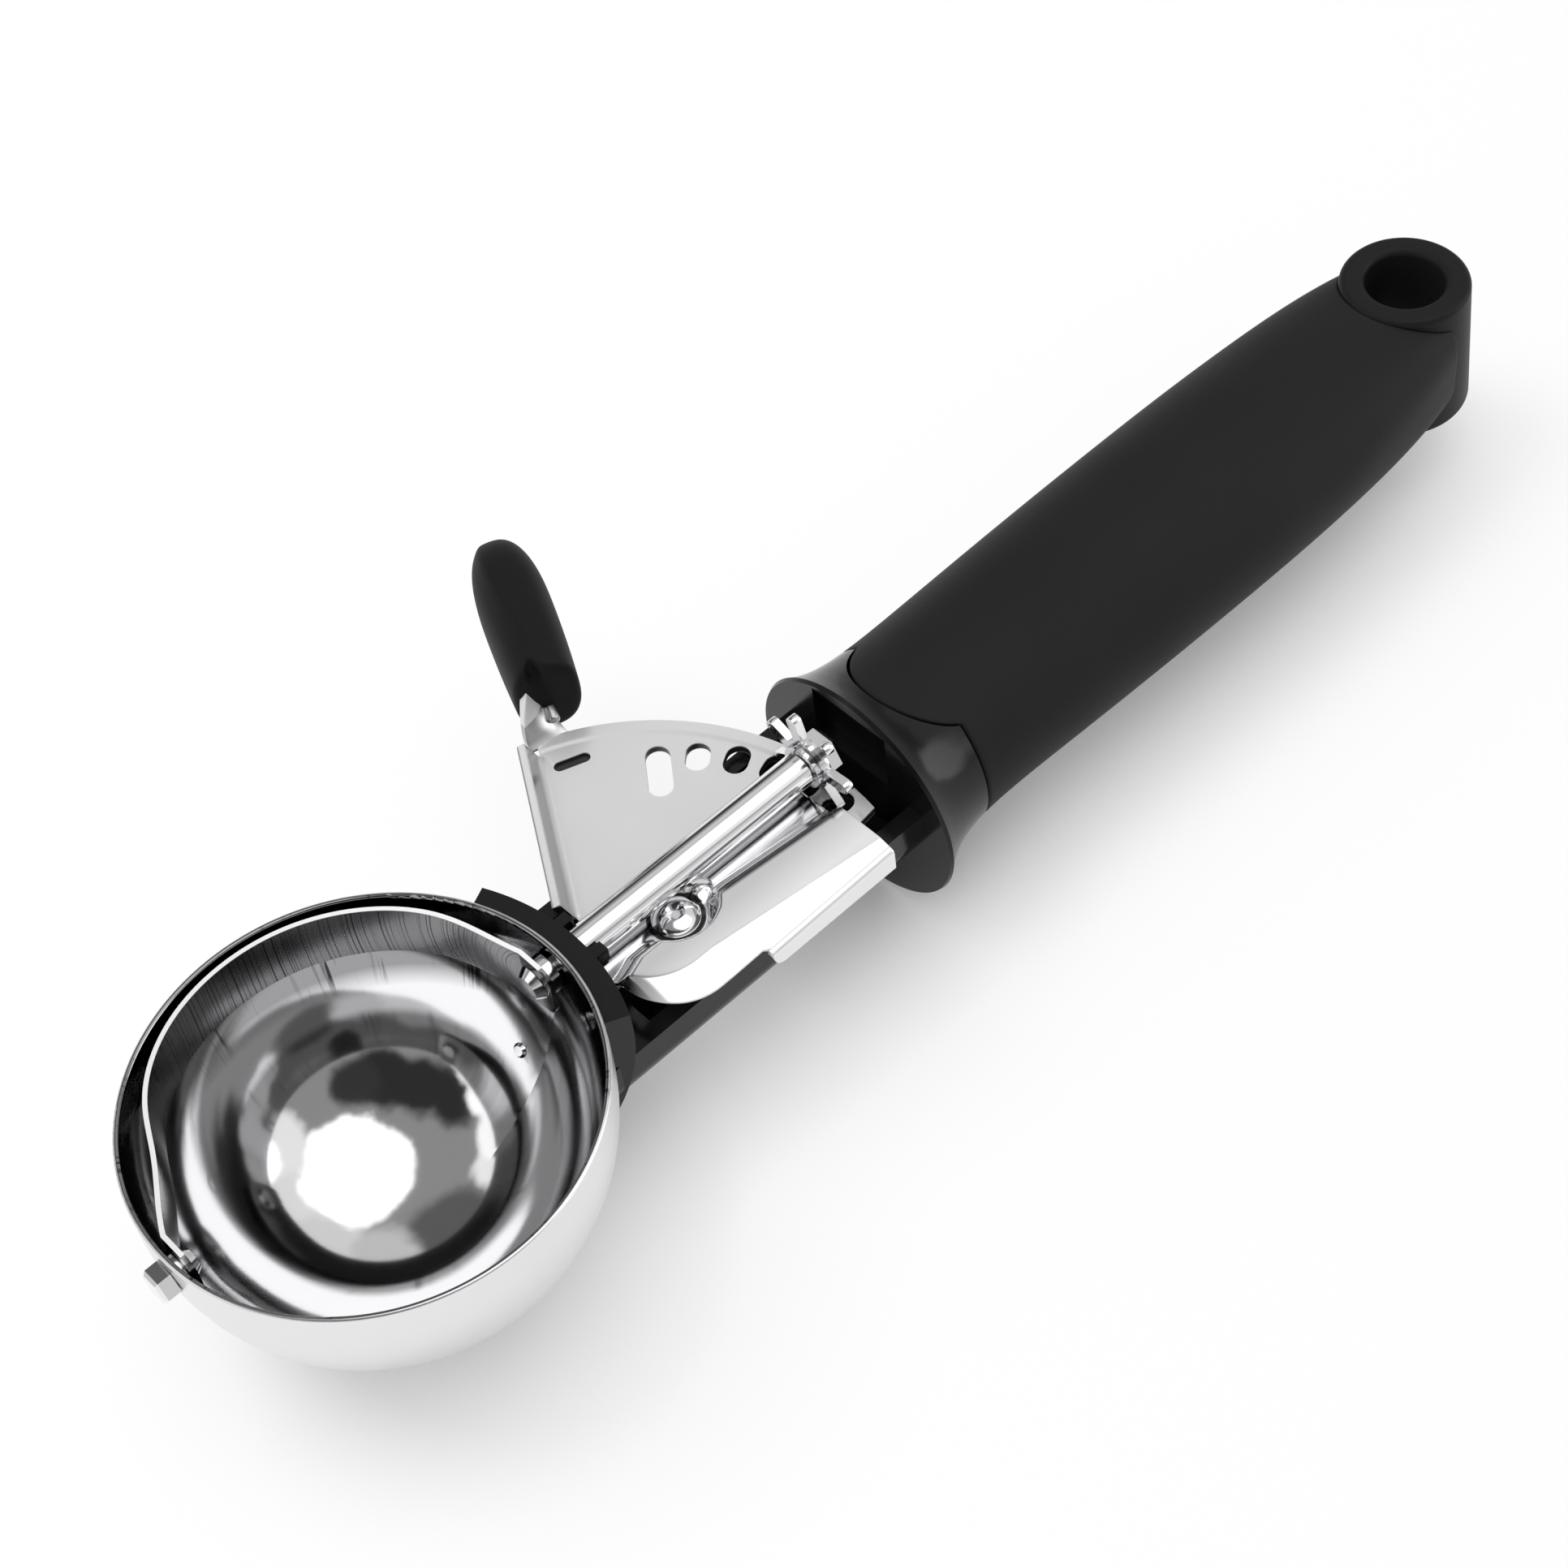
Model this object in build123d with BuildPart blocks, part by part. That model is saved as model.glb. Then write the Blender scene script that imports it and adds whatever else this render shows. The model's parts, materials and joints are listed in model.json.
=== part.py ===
"""Thumb-lever ice cream scoop, built piece by piece in millimetres.

The origin is the middle of the hang hole, on the handle's centre line. +Z is up
through the hang hole, and -X runs along the handle to the bowl.
"""
import os
from math import atan2, cos, degrees, exp, hypot, pi, radians, sin, sqrt

from build123d import *

# Overall
AXIS_HEIGHT = 10.0

# Bowl
BOWL_INNER_R = 28.2
BOWL_WALL = 0.8
RIM_ABOVE_AXIS = 4.5

# Scraper blade, shaft and front pivot
BLADE_THICK = 0.6
BLADE_HALF_WIDTH = 4.2
BLADE_CLEAR = 0.85
FRONT_TAB_INSET = 1.2
REAR_TAB_INSET = 2.5
TAB_REACH = 3.4
SHAFT_R = 1.5
SHAFT_HEAD_R = 2.4
PIN_R = 1.3
PIN_HEAD_R = 2.2
PIN_HEX_FLATS = 4.4
PIN_HEX_LENGTH = 2.2

# Bowl rivet
BOWL_RIVET_R = 0.6
BOWL_RIVET_HEAD_R = 1.0
BOWL_RIVET_HEAD = 0.4
BOWL_RIVET_TAIL_R = 1.1
BOWL_RIVET_TAIL = 0.5
BOWL_RIVET_TURN = 9.4
BOWL_RIVET_DIP = -34.4

# Bearing tube
TUBE_R = 2.4

# Sector lever and pinion: a 7 finger pinion runs in slots spaced as on a 32 tooth wheel
PINION_TEETH = 7
SECTOR_TEETH = 32
SLOT_CIRCLE_R = 26.2
SLOT_COUNT = 6
FIRST_SLOT_ANGLE = -2.95
SLOT_WIDTH = 3.3
SLOT_LENGTH = 4.6
LONG_SLOT_LENGTH = 8.4
PINION_TIP_R = 7.4
PINION_HUB_R = 3.7
PINION_FINGER = 1.7
PINION_THICK = 1.2
PIVOT_BEHIND_CRADLE = 12.8
LEVER_PIVOT_Y = -3.0
SECTOR_THICK = 1.2
SECTOR_HUB_R = 8.5
SECTOR_EDGE_START = 3.2
SECTOR_EDGE_MIDDLE = 4.8
SECTOR_EDGE_END = 9.2
SECTOR_CORNER_X = 6.0
SECTOR_CORNER_RISE = 9.0
EDGE_FOOT_X = -8.8
EDGE_FOOT_Y = 10.3
FLANGE_ROOT = 0.8
FLANGE_LEAN = 1.5
FLANGE_HEIGHT = 4.4
SLIT_X = 8.0
SLIT_RISE = 3.4
SLIT_LENGTH = 4.6
SLIT_WIDTH = 1.0
TAB_TOP = 11.4
TAB_LENGTH = 23.0
TAB_BACK = 5.0
RIVET_R = 1.9
RIVET_HEAD_R = 3.2

# Thumb pad
PAD_LENGTH = 28.5
PAD_THICK = 9.0
PAD_HEIGHT = 13.5
PAD_ANGLE = 65.0
PAD_START_X = 11.5
PAD_START_RISE = 10.1
PAD_BOTTOM = 2.0

# Mechanism plate
PLATE_THICK = 0.9
PLATE_RAISE = 3.2
PLATE_BEHIND_CRADLE = 0.8
PLATE_LENGTH = 36.0
PLATE_SIDE = 17.0
PLATE_INNER_EDGE = 3.2
PLATE_EDGE_INSET = 1.4
PLATE_CORNER_R = 8.4
PLATE_FOLD_R = 2.2
FOLD_FOOT = -3.8
FOLD_SLOPE = 1.8
FLANGE_FROM_FRONT = 15.5
DISH_MARGIN = 0.9

# Neck frame, guard and handle
NECK_HALF_WIDTH = 12.5
NECK_SIDE = 4.0
NECK_WALL = 2.4
NECK_BOTTOM = -7.5
NECK_START = 22.0
CRADLE_THICK = 3.2
CRADLE_HALF_ANGLE = 25.0
CRADLE_DROP = 40.0
CRADLE_BELOW_RIM = 1.7
LUG_LENGTH = 2.4
LUG_WIDTH = 1.6
LUG_HEIGHT = 2.6
LUG_DROP = 0.6
GUARD_BEHIND_PIVOT = 33.0
GUARD_EDGE = 0.6
GUARD_HALF_WIDTH = 17.6
GUARD_HALF_HEIGHT = 17.2
GUARD_DROP = 2.0
GUARD_REACH = 4.6
GRIP_HALF_WIDTH = 15.2
GRIP_HALF_HEIGHT = 12.6
GRIP_MIDDLE_BACK = 65.0
GRIP_FRONT_SPAN = 57.0
GRIP_REAR_SPAN = 49.0
FRONT_WIDTH_LOSS = 1.4
FRONT_HEIGHT_LOSS = 0.5
REAR_WIDTH_LOSS = 6.0
REAR_HEIGHT_LOSS = 4.6
HOLE_BEHIND_GUARD = 109.0
TONGUE_TIP_BACK = 4.0
TONGUE_CUSP_BACK = 10.5
TONGUE_HALF_WIDTH = 9.5
TONGUE_SLANT = 1.5
CORE_WIDTH = 17.0
CORE_HEIGHT = 13.0

# Hang eye
HANG_HOLE_R = 5.6
EYE_R = 9.2
EYE_TOP = 10.7
EYE_BOTTOM = -10.3
EYE_CHAMFER = 0.9
EYE_FOOT_R = 10.4
EYE_GRIP_END = -0.8

# Return spring, whose fine wire has eight flats
WIRE_R = 0.4
WIRE_SIDES = 8
COIL_R = 4.6
COIL_TURNS = 3
COIL_PITCH = 1.5
SPRING_LEG = 12.0

# Clearances
FIT = 0.03
RUNNING_FIT = 0.06
SEAT = 0.05
SLIDE = 0.3
GROOVE = 0.35

# Sizes worked out from the driving dimensions, with lengths along X taken from the bowl's centre
BOWL_OUTER_R = BOWL_INNER_R + BOWL_WALL
CRADLE_R = BOWL_OUTER_R + CRADLE_THICK
LEVER_PIVOT_X = CRADLE_R + PIVOT_BEHIND_CRADLE
PLATE_FRONT = CRADLE_R + PLATE_BEHIND_CRADLE
PLATE_REAR = PLATE_FRONT + PLATE_LENGTH
GUARD_FRONT = LEVER_PIVOT_X + GUARD_BEHIND_PIVOT
TONGUE_TIP = GUARD_FRONT + TONGUE_TIP_BACK
TONGUE_CUSP = GUARD_FRONT + TONGUE_CUSP_BACK
GRIP_MIDDLE = GUARD_FRONT + GRIP_MIDDLE_BACK
BOWL_TO_HOLE = GUARD_FRONT + HOLE_BEHIND_GUARD
BOWL_X = -BOWL_TO_HOLE
RATIO = SECTOR_TEETH / PINION_TEETH
SLOT_STEP = 360 / SECTOR_TEETH
PINION_PITCH_R = SLOT_CIRCLE_R / RATIO
SECTOR_MID = AXIS_HEIGHT - PINION_PITCH_R
SECTOR_TOP = SECTOR_MID + SECTOR_THICK / 2
SECTOR_BOTTOM = SECTOR_MID - SECTOR_THICK / 2
NECK_TOP = SECTOR_BOTTOM - 2 * SLIDE
PLATE_FLOOR = SECTOR_TOP + SLIDE
PLATE_FLOOR_TOP = PLATE_FLOOR + PLATE_THICK
PLATE_TOP = PLATE_FLOOR_TOP + PLATE_RAISE
PINION_X = LEVER_PIVOT_X + sqrt(SLOT_CIRCLE_R**2 - LEVER_PIVOT_Y**2)
PINION_FRONT = PINION_X - PINION_THICK / 2
PINION_REAR = PINION_X + PINION_THICK / 2
WASHER_THICK = 0.7
TUBE_REAR = PINION_FRONT - WASHER_THICK - 2 * SEAT
CONTACT_ANGLE = degrees(atan2(-LEVER_PIVOT_Y, PINION_X - LEVER_PIVOT_X))
TOOTH_PHASE = (FIRST_SLOT_ANGLE + SLOT_STEP - CONTACT_ANGLE) * RATIO
FRONT_TAB_X = -BOWL_INNER_R + FRONT_TAB_INSET
REAR_TAB_X = BOWL_INNER_R - REAR_TAB_INSET
POCKET_HALF_WIDTH = NECK_HALF_WIDTH - NECK_WALL
COLLAR_LENGTH = 13.0
COLLAR_END = GUARD_FRONT + COLLAR_LENGTH
HANDLE_END = BOWL_TO_HOLE + 4.0
CUT_HALF_WIDTH = GUARD_HALF_WIDTH + 8
CORE_FRONT = GUARD_FRONT + 2.3
CORE_REAR = -EYE_R - 2.8


def along(x):
    """X in the shared frame of a place measured from the bowl's centre."""
    return BOWL_X + x


def across(x, y=0.0, z=AXIS_HEIGHT):
    """Plane facing +X, with its own x along +Y, at a place measured from the bowl's centre."""
    return Plane(origin=(along(x), y, z), x_dir=(0, 1, 0), z_dir=(1, 0, 0))


def level(z):
    """Plane facing +Z at height z, with its origin over the bowl's centre."""
    return Plane(origin=(BOWL_X, 0, z))


def pivot_level(z):
    """Plane facing +Z at height z, with its origin on the lever's pivot."""
    return Plane(origin=(along(LEVER_PIVOT_X), LEVER_PIVOT_Y, z))


def polar(radius, angle):
    """Point at a radius and an angle in degrees."""
    return (radius * cos(radians(angle)), radius * sin(radians(angle)))


os.makedirs("parts", exist_ok=True)


def save(builder, name):
    """Name a sub-part and write its STEP file."""
    builder.part.label = name
    export_step(builder.part, f"parts/{name}.step")


# Bowl: a hemisphere with a straight band up to a rounded rim, turned about its own axis
bowl_axis = Axis((BOWL_X, 0, AXIS_HEIGHT), (0, 0, 1))
bowl_section = Plane(origin=(BOWL_X, 0, AXIS_HEIGHT), x_dir=(1, 0, 0), z_dir=(0, -1, 0))
bowl_centre = Vector(BOWL_X, 0, AXIS_HEIGHT)
rivet_level = cos(radians(BOWL_RIVET_DIP))
rivet_out = Vector(*polar(rivet_level, BOWL_RIVET_TURN), sin(radians(BOWL_RIVET_DIP)))


def rivet_plane(distance, outward=True):
    """Plane across the bowl's rivet at a distance from the bowl's centre."""
    return Plane(origin=bowl_centre + rivet_out * distance, z_dir=rivet_out if outward else rivet_out * -1)


with BuildPart() as bowl:
    with BuildSketch(bowl_section):
        with BuildLine():
            band = RIM_ABOVE_AXIS - BOWL_WALL / 2
            CenterArc((0, 0), BOWL_OUTER_R, -90, 90)
            Line((BOWL_OUTER_R, 0), (BOWL_OUTER_R, band))
            ThreePointArc(
                (BOWL_OUTER_R, band),
                (BOWL_OUTER_R - BOWL_WALL / 2, RIM_ABOVE_AXIS),
                (BOWL_INNER_R, band),
            )
            Line((BOWL_INNER_R, band), (BOWL_INNER_R, 0))
            CenterArc((0, 0), BOWL_INNER_R, 0, -90)
            Line((0, -BOWL_INNER_R), (0, -BOWL_OUTER_R))
        make_face()
    revolve(axis=bowl_axis)
    with BuildSketch(across(BOWL_INNER_R - 2)):
        Circle(SHAFT_R + RUNNING_FIT)
    extrude(amount=4, mode=Mode.SUBTRACT)
    with BuildSketch(across(-BOWL_OUTER_R - 2)):
        Circle(PIN_R + FIT)
    extrude(amount=4, mode=Mode.SUBTRACT)
    with BuildSketch(rivet_plane(BOWL_INNER_R - 1)):
        Circle(BOWL_RIVET_R + FIT)
    extrude(amount=BOWL_WALL + 2, mode=Mode.SUBTRACT)
save(bowl, "bowl")

# Bowl rivet: small rivet that holds the bowl to the lip of its cradle
rivet_seat = sqrt(BOWL_INNER_R**2 - BOWL_RIVET_HEAD_R**2) - SEAT
with BuildPart() as bowl_rivet:
    with BuildSketch(rivet_plane(rivet_seat, outward=False)):
        Circle(BOWL_RIVET_HEAD_R)
    extrude(amount=BOWL_RIVET_HEAD, taper=40)
    with BuildSketch(rivet_plane(rivet_seat - BOWL_RIVET_HEAD / 2)):
        Circle(BOWL_RIVET_R)
    extrude(amount=CRADLE_R - rivet_seat + BOWL_RIVET_HEAD)
    with BuildSketch(rivet_plane(CRADLE_R + SEAT)):
        Circle(BOWL_RIVET_TAIL_R)
    extrude(amount=BOWL_RIVET_TAIL, taper=35)
save(bowl_rivet, "bowl_rivet")

# Scraper blade: a thin strip bent to the wall's curve, with a square tab across each pivot
blade_side_r = BOWL_INNER_R - BLADE_CLEAR - BLADE_THICK / 2
blade_line = [
    (FRONT_TAB_X, TAB_REACH * 0.6),
    polar(blade_side_r - 2.6, 152),
    polar(blade_side_r - 1.5, 135),
    polar(blade_side_r - 0.4, 115),
    polar(blade_side_r, 92),
    polar(blade_side_r, 72),
    polar(blade_side_r - 0.3, 52),
    polar(blade_side_r - 0.9, 31),
    (REAR_TAB_X, TAB_REACH * 0.6),
]
with BuildPart() as scraper_blade:
    with BuildSketch(level(AXIS_HEIGHT - BLADE_HALF_WIDTH)):
        with BuildLine():
            Line((FRONT_TAB_X, -TAB_REACH), blade_line[0])
            Spline(*blade_line, tangents=((0.45, 1), (0.3, -1)))
            Line(blade_line[-1], (REAR_TAB_X, -TAB_REACH))
        trace(line_width=BLADE_THICK)
    extrude(amount=2 * BLADE_HALF_WIDTH)
    with BuildSketch(across(FRONT_TAB_X - 2)):
        Circle(PIN_R + RUNNING_FIT)
    extrude(amount=4, mode=Mode.SUBTRACT)
    with BuildSketch(across(REAR_TAB_X - 2)):
        Circle(SHAFT_R + FIT)
    extrude(amount=4, mode=Mode.SUBTRACT)
    tab_corners = scraper_blade.edges().filter_by(Axis.X).filter_by(
        lambda edge: edge.center().Y < -TAB_REACH + 0.1
    )
    fillet(tab_corners, 2.2)
save(scraper_blade, "scraper_blade")

# Front pivot pin: hex head outside the bowl, shank through the wall, peened head inside the tab
front_tab_inner = FRONT_TAB_X + BLADE_THICK / 2
with BuildPart() as front_pivot_pin:
    with BuildSketch(across(-BOWL_OUTER_R - PIN_HEX_LENGTH)):
        RegularPolygon(PIN_HEX_FLATS / 2, 6, major_radius=False)
    extrude(amount=PIN_HEX_LENGTH - SEAT)
    chamfer(front_pivot_pin.faces().sort_by(Axis.X)[0].edges(), 0.4)
    with BuildSketch(across(-BOWL_OUTER_R - 1)):
        Circle(PIN_R)
    extrude(amount=front_tab_inner + BOWL_OUTER_R + 1.3)
    with BuildSketch(across(front_tab_inner + 0.15)):
        Circle(PIN_HEAD_R)
    extrude(amount=1.0, taper=35)
save(front_pivot_pin, "front_pivot_pin")

# Front spacer: ring on the pin between the wall and the blade's tab
front_spacer_start = -sqrt(BOWL_INNER_R**2 - PIN_HEAD_R**2) + SEAT
with BuildPart() as front_spacer:
    with BuildSketch(across(front_spacer_start)):
        Circle(PIN_HEAD_R)
        Circle(PIN_R + FIT, mode=Mode.SUBTRACT)
    extrude(amount=FRONT_TAB_X - BLADE_THICK / 2 - 0.1 - front_spacer_start)
save(front_spacer, "front_spacer")

# Scraper shaft: turns in the bearing tube, peened over the blade's rear tab
rear_tab_inner = REAR_TAB_X - BLADE_THICK / 2
CAP_LENGTH = 2.6
with BuildPart() as scraper_shaft:
    with BuildSketch(across(rear_tab_inner - 0.6)):
        Circle(SHAFT_R)
    extrude(amount=PINION_REAR + CAP_LENGTH - 0.9 - rear_tab_inner + 0.6)
    with BuildSketch(across(rear_tab_inner - SEAT)):
        Circle(SHAFT_HEAD_R)
    extrude(amount=-1.1, taper=35)
save(scraper_shaft, "scraper_shaft")

# Shaft spacer: ring between the blade's rear tab and the bowl wall
rear_spacer_start = REAR_TAB_X + BLADE_THICK / 2 + SEAT
with BuildPart() as shaft_spacer:
    with BuildSketch(across(rear_spacer_start)):
        Circle(SHAFT_HEAD_R + 0.2)
        Circle(SHAFT_R + FIT, mode=Mode.SUBTRACT)
    extrude(amount=sqrt(BOWL_INNER_R**2 - (SHAFT_HEAD_R + 0.2) ** 2) - SLIDE - rear_spacer_start)
save(shaft_spacer, "shaft_spacer")

# Bearing tube: fixed sleeve from the bowl to the pinion
with BuildPart() as bearing_tube:
    with BuildSketch(across(BOWL_OUTER_R + 0.25)):
        Circle(TUBE_R)
        Circle(SHAFT_R + RUNNING_FIT, mode=Mode.SUBTRACT)
    extrude(amount=TUBE_REAR - BOWL_OUTER_R - 0.25)
    chamfer(bearing_tube.faces().sort_by(Axis.X)[-1].edges().sort_by(SortBy.RADIUS)[-1], 0.3)
save(bearing_tube, "bearing_tube")

# Pinion: stamped star whose round-ended fingers drop into the sector's slots
with BuildPart() as pinion:
    with BuildSketch(across(PINION_FRONT)):
        Circle(PINION_HUB_R)
        with PolarLocations(0, PINION_TEETH, start_angle=270 + TOOTH_PHASE):
            with Locations((PINION_TIP_R / 2 - PINION_FINGER / 4, 0)):
                Rectangle(PINION_TIP_R - PINION_FINGER / 2, PINION_FINGER)
            with Locations((PINION_TIP_R - PINION_FINGER / 2, 0)):
                Circle(PINION_FINGER / 2)
        Circle(SHAFT_R + FIT, mode=Mode.SUBTRACT)
    extrude(amount=PINION_THICK)
save(pinion, "pinion")

# Pinion washer: thrust washer between the tube's end and the pinion
with BuildPart() as pinion_washer:
    with BuildSketch(across(TUBE_REAR + SEAT)):
        Circle(TUBE_R + 0.7)
        Circle(SHAFT_R + FIT, mode=Mode.SUBTRACT)
    extrude(amount=WASHER_THICK)
save(pinion_washer, "pinion_washer")

# Pinion cap: hex cap pressed on the shaft's end behind the pinion
with BuildPart() as pinion_cap:
    with BuildSketch(across(PINION_REAR + SEAT)):
        RegularPolygon(2.9, 6, major_radius=False)
    extrude(amount=CAP_LENGTH)
    chamfer(pinion_cap.faces().sort_by(Axis.X)[-1].edges(), 0.7)
    with BuildSketch(across(PINION_REAR)):
        Circle(SHAFT_R + FIT)
    extrude(amount=CAP_LENGTH - 0.8, mode=Mode.SUBTRACT)
save(pinion_cap, "pinion_cap")

# Mechanism plate: folded sheet with a floor along the tube, a dish round the rivet and a side flange
dish_r = RIVET_HEAD_R + DISH_MARGIN
dish_head_r = dish_r + FOLD_SLOPE
fold_head = FOLD_FOOT - FOLD_SLOPE
lean = PLATE_THICK * 0.55
flange_foot = SECTOR_TOP + 2 * SLIDE
pivot_axis = Axis((along(LEVER_PIVOT_X), LEVER_PIVOT_Y, 0), (0, 0, 1))
pivot_section = Plane(
    origin=(along(LEVER_PIVOT_X), LEVER_PIVOT_Y, 0), x_dir=(1, 0, 0), z_dir=(0, -1, 0)
)
with BuildPart() as dish_wall:
    with BuildSketch(across(PLATE_FRONT, z=0)):
        Polygon(
            (PLATE_INNER_EDGE, PLATE_FLOOR),
            (PLATE_INNER_EDGE, PLATE_FLOOR_TOP),
            (FOLD_FOOT, PLATE_FLOOR_TOP),
            (fold_head, PLATE_TOP),
            (-PLATE_SIDE, PLATE_TOP),
            (-PLATE_SIDE, PLATE_FLOOR),
            align=None,
        )
    extrude(amount=PLATE_LENGTH)
    with BuildSketch(pivot_section):
        Polygon(
            (0, PLATE_FLOOR),
            (0, PLATE_FLOOR_TOP),
            (dish_r, PLATE_FLOOR_TOP),
            (dish_head_r, PLATE_TOP),
            (dish_head_r + lean, PLATE_TOP),
            (dish_head_r + lean, PLATE_TOP - PLATE_THICK),
            (dish_r + lean, PLATE_FLOOR),
            align=None,
        )
    revolve(axis=pivot_axis, mode=Mode.INTERSECT)
with BuildPart() as mechanism_plate:
    with BuildSketch(across(PLATE_FRONT, z=0)):
        Polygon(
            (PLATE_INNER_EDGE, PLATE_FLOOR_TOP),
            (FOLD_FOOT, PLATE_FLOOR_TOP),
            (fold_head, PLATE_TOP),
            (-PLATE_SIDE, PLATE_TOP),
            (-PLATE_SIDE, flange_foot),
            (-PLATE_SIDE + PLATE_THICK, flange_foot),
            (-PLATE_SIDE + PLATE_THICK, PLATE_TOP - PLATE_THICK),
            (fold_head - lean, PLATE_TOP - PLATE_THICK),
            (FOLD_FOOT - lean, PLATE_FLOOR),
            (PLATE_INNER_EDGE, PLATE_FLOOR),
            align=None,
        )
        fillet(vertices().sort_by_distance((-PLATE_SIDE, PLATE_TOP, 0))[0], PLATE_FOLD_R)
        inner_fold = (-PLATE_SIDE + PLATE_THICK, PLATE_TOP - PLATE_THICK, 0)
        fillet(vertices().sort_by_distance(inner_fold)[0], PLATE_FOLD_R - PLATE_THICK)
    extrude(amount=PLATE_LENGTH)
    with BuildSketch(pivot_section):
        Polygon(
            (0, PLATE_FLOOR - 1),
            (dish_r, PLATE_FLOOR - 1),
            (dish_r, PLATE_FLOOR_TOP),
            (dish_head_r, PLATE_TOP),
            (dish_head_r, PLATE_TOP + 1),
            (0, PLATE_TOP + 1),
            align=None,
        )
    revolve(axis=pivot_axis, mode=Mode.SUBTRACT)
    add(dish_wall.part)
    with BuildSketch(level(0)):
        with BuildLine():
            front_side = -PLATE_SIDE + PLATE_EDGE_INSET
            front_corner = PLATE_FRONT + PLATE_CORNER_R
            flange_start = PLATE_FRONT + FLANGE_FROM_FRONT
            rear_notch = PINION_FRONT - 2 * PINION_THICK
            notch_side = -PINION_TIP_R - PINION_THICK
            Line((PLATE_FRONT, PLATE_INNER_EDGE + 1), (PLATE_FRONT, front_side + PLATE_CORNER_R))
            CenterArc((front_corner, front_side + PLATE_CORNER_R), PLATE_CORNER_R, 180, 90)
            Polyline(
                (front_corner, front_side),
                (flange_start, front_side),
                (flange_start, -PLATE_SIDE - 1),
                (PLATE_REAR, -PLATE_SIDE - 1),
                (PLATE_REAR, notch_side),
                (rear_notch, notch_side),
                (rear_notch, PLATE_INNER_EDGE + 1),
                (PLATE_FRONT, PLATE_INNER_EDGE + 1),
            )
        make_face()
    extrude(amount=PLATE_TOP + 1, mode=Mode.INTERSECT)
    with BuildSketch(pivot_level(0)):
        Circle(RIVET_R + FIT)
    extrude(amount=PLATE_TOP, mode=Mode.SUBTRACT)
save(mechanism_plate, "mechanism_plate")

# Sector lever: slotted plate, leaning edge flange and the upright tab that the pad covers
corner = (SECTOR_CORNER_X, SLOT_CIRCLE_R + SECTOR_CORNER_RISE)
edge_foot = (EDGE_FOOT_X, EDGE_FOOT_Y)
sector_start = polar(SLOT_CIRCLE_R + SECTOR_EDGE_START, -10)
sector_middle = polar(SLOT_CIRCLE_R + SECTOR_EDGE_MIDDLE, 32)
sector_end = polar(SLOT_CIRCLE_R + SECTOR_EDGE_END, 75)
edge_length = hypot(corner[0] - edge_foot[0], corner[1] - edge_foot[1])
edge_along = Vector((corner[0] - edge_foot[0]) / edge_length, (corner[1] - edge_foot[1]) / edge_length, 0)
edge_out = Vector(-edge_along.Y, edge_along.X, 0)
pad_along = Vector(*polar(1, PAD_ANGLE), 0)
pad_start_y = SLOT_CIRCLE_R + PAD_START_RISE
pad_origin = Vector(along(LEVER_PIVOT_X) + PAD_START_X, LEVER_PIVOT_Y + pad_start_y, 0)
with BuildPart() as sector_lever:
    with BuildSketch(pivot_level(SECTOR_BOTTOM)):
        Circle(SECTOR_HUB_R)
        with BuildLine():
            Polyline(polar(SECTOR_HUB_R, -78), sector_start)
            ThreePointArc(sector_start, sector_middle, sector_end)
            Polyline(sector_end, corner, edge_foot, polar(SECTOR_HUB_R, 175), polar(SECTOR_HUB_R, -78))
        make_face()
        for slot in range(SLOT_COUNT):
            angle = FIRST_SLOT_ANGLE + slot * SLOT_STEP
            longest = slot == SLOT_COUNT - 1
            length = LONG_SLOT_LENGTH if longest else SLOT_LENGTH
            middle = SLOT_CIRCLE_R - (length - SLOT_LENGTH) / 2
            with Locations(Location(polar(middle, angle) + (0,), (0, 0, angle))):
                SlotOverall(length, SLOT_WIDTH, mode=Mode.SUBTRACT)
        with Locations(Location((SLIT_X, SLOT_CIRCLE_R + SLIT_RISE, 0), (0, 0, -21))):
            SlotOverall(SLIT_LENGTH, SLIT_WIDTH, mode=Mode.SUBTRACT)
        Circle(RIVET_R + RUNNING_FIT, mode=Mode.SUBTRACT)
    extrude(amount=SECTOR_THICK)
    lever_edge = Vector(along(LEVER_PIVOT_X) + edge_foot[0], LEVER_PIVOT_Y + edge_foot[1], SECTOR_BOTTOM)
    with BuildSketch(Plane(origin=lever_edge, x_dir=edge_out, z_dir=edge_along)):
        Polygon(
            (-FLANGE_ROOT, 0),
            (0, 0),
            (FLANGE_LEAN, FLANGE_HEIGHT),
            (FLANGE_LEAN - SECTOR_THICK * 0.95, FLANGE_HEIGHT + SECTOR_THICK * 0.33),
            (-FLANGE_ROOT, SECTOR_THICK),
            align=None,
        )
    extrude(amount=edge_length)
    tab_start = pad_origin - pad_along * TAB_BACK
    with BuildSketch(Plane(origin=(tab_start.X, tab_start.Y, SECTOR_BOTTOM), x_dir=pad_along)):
        with Locations((TAB_LENGTH / 2, 0)):
            Rectangle(TAB_LENGTH, SECTOR_THICK)
    extrude(amount=TAB_TOP - SECTOR_BOTTOM)
save(sector_lever, "sector_lever")

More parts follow.
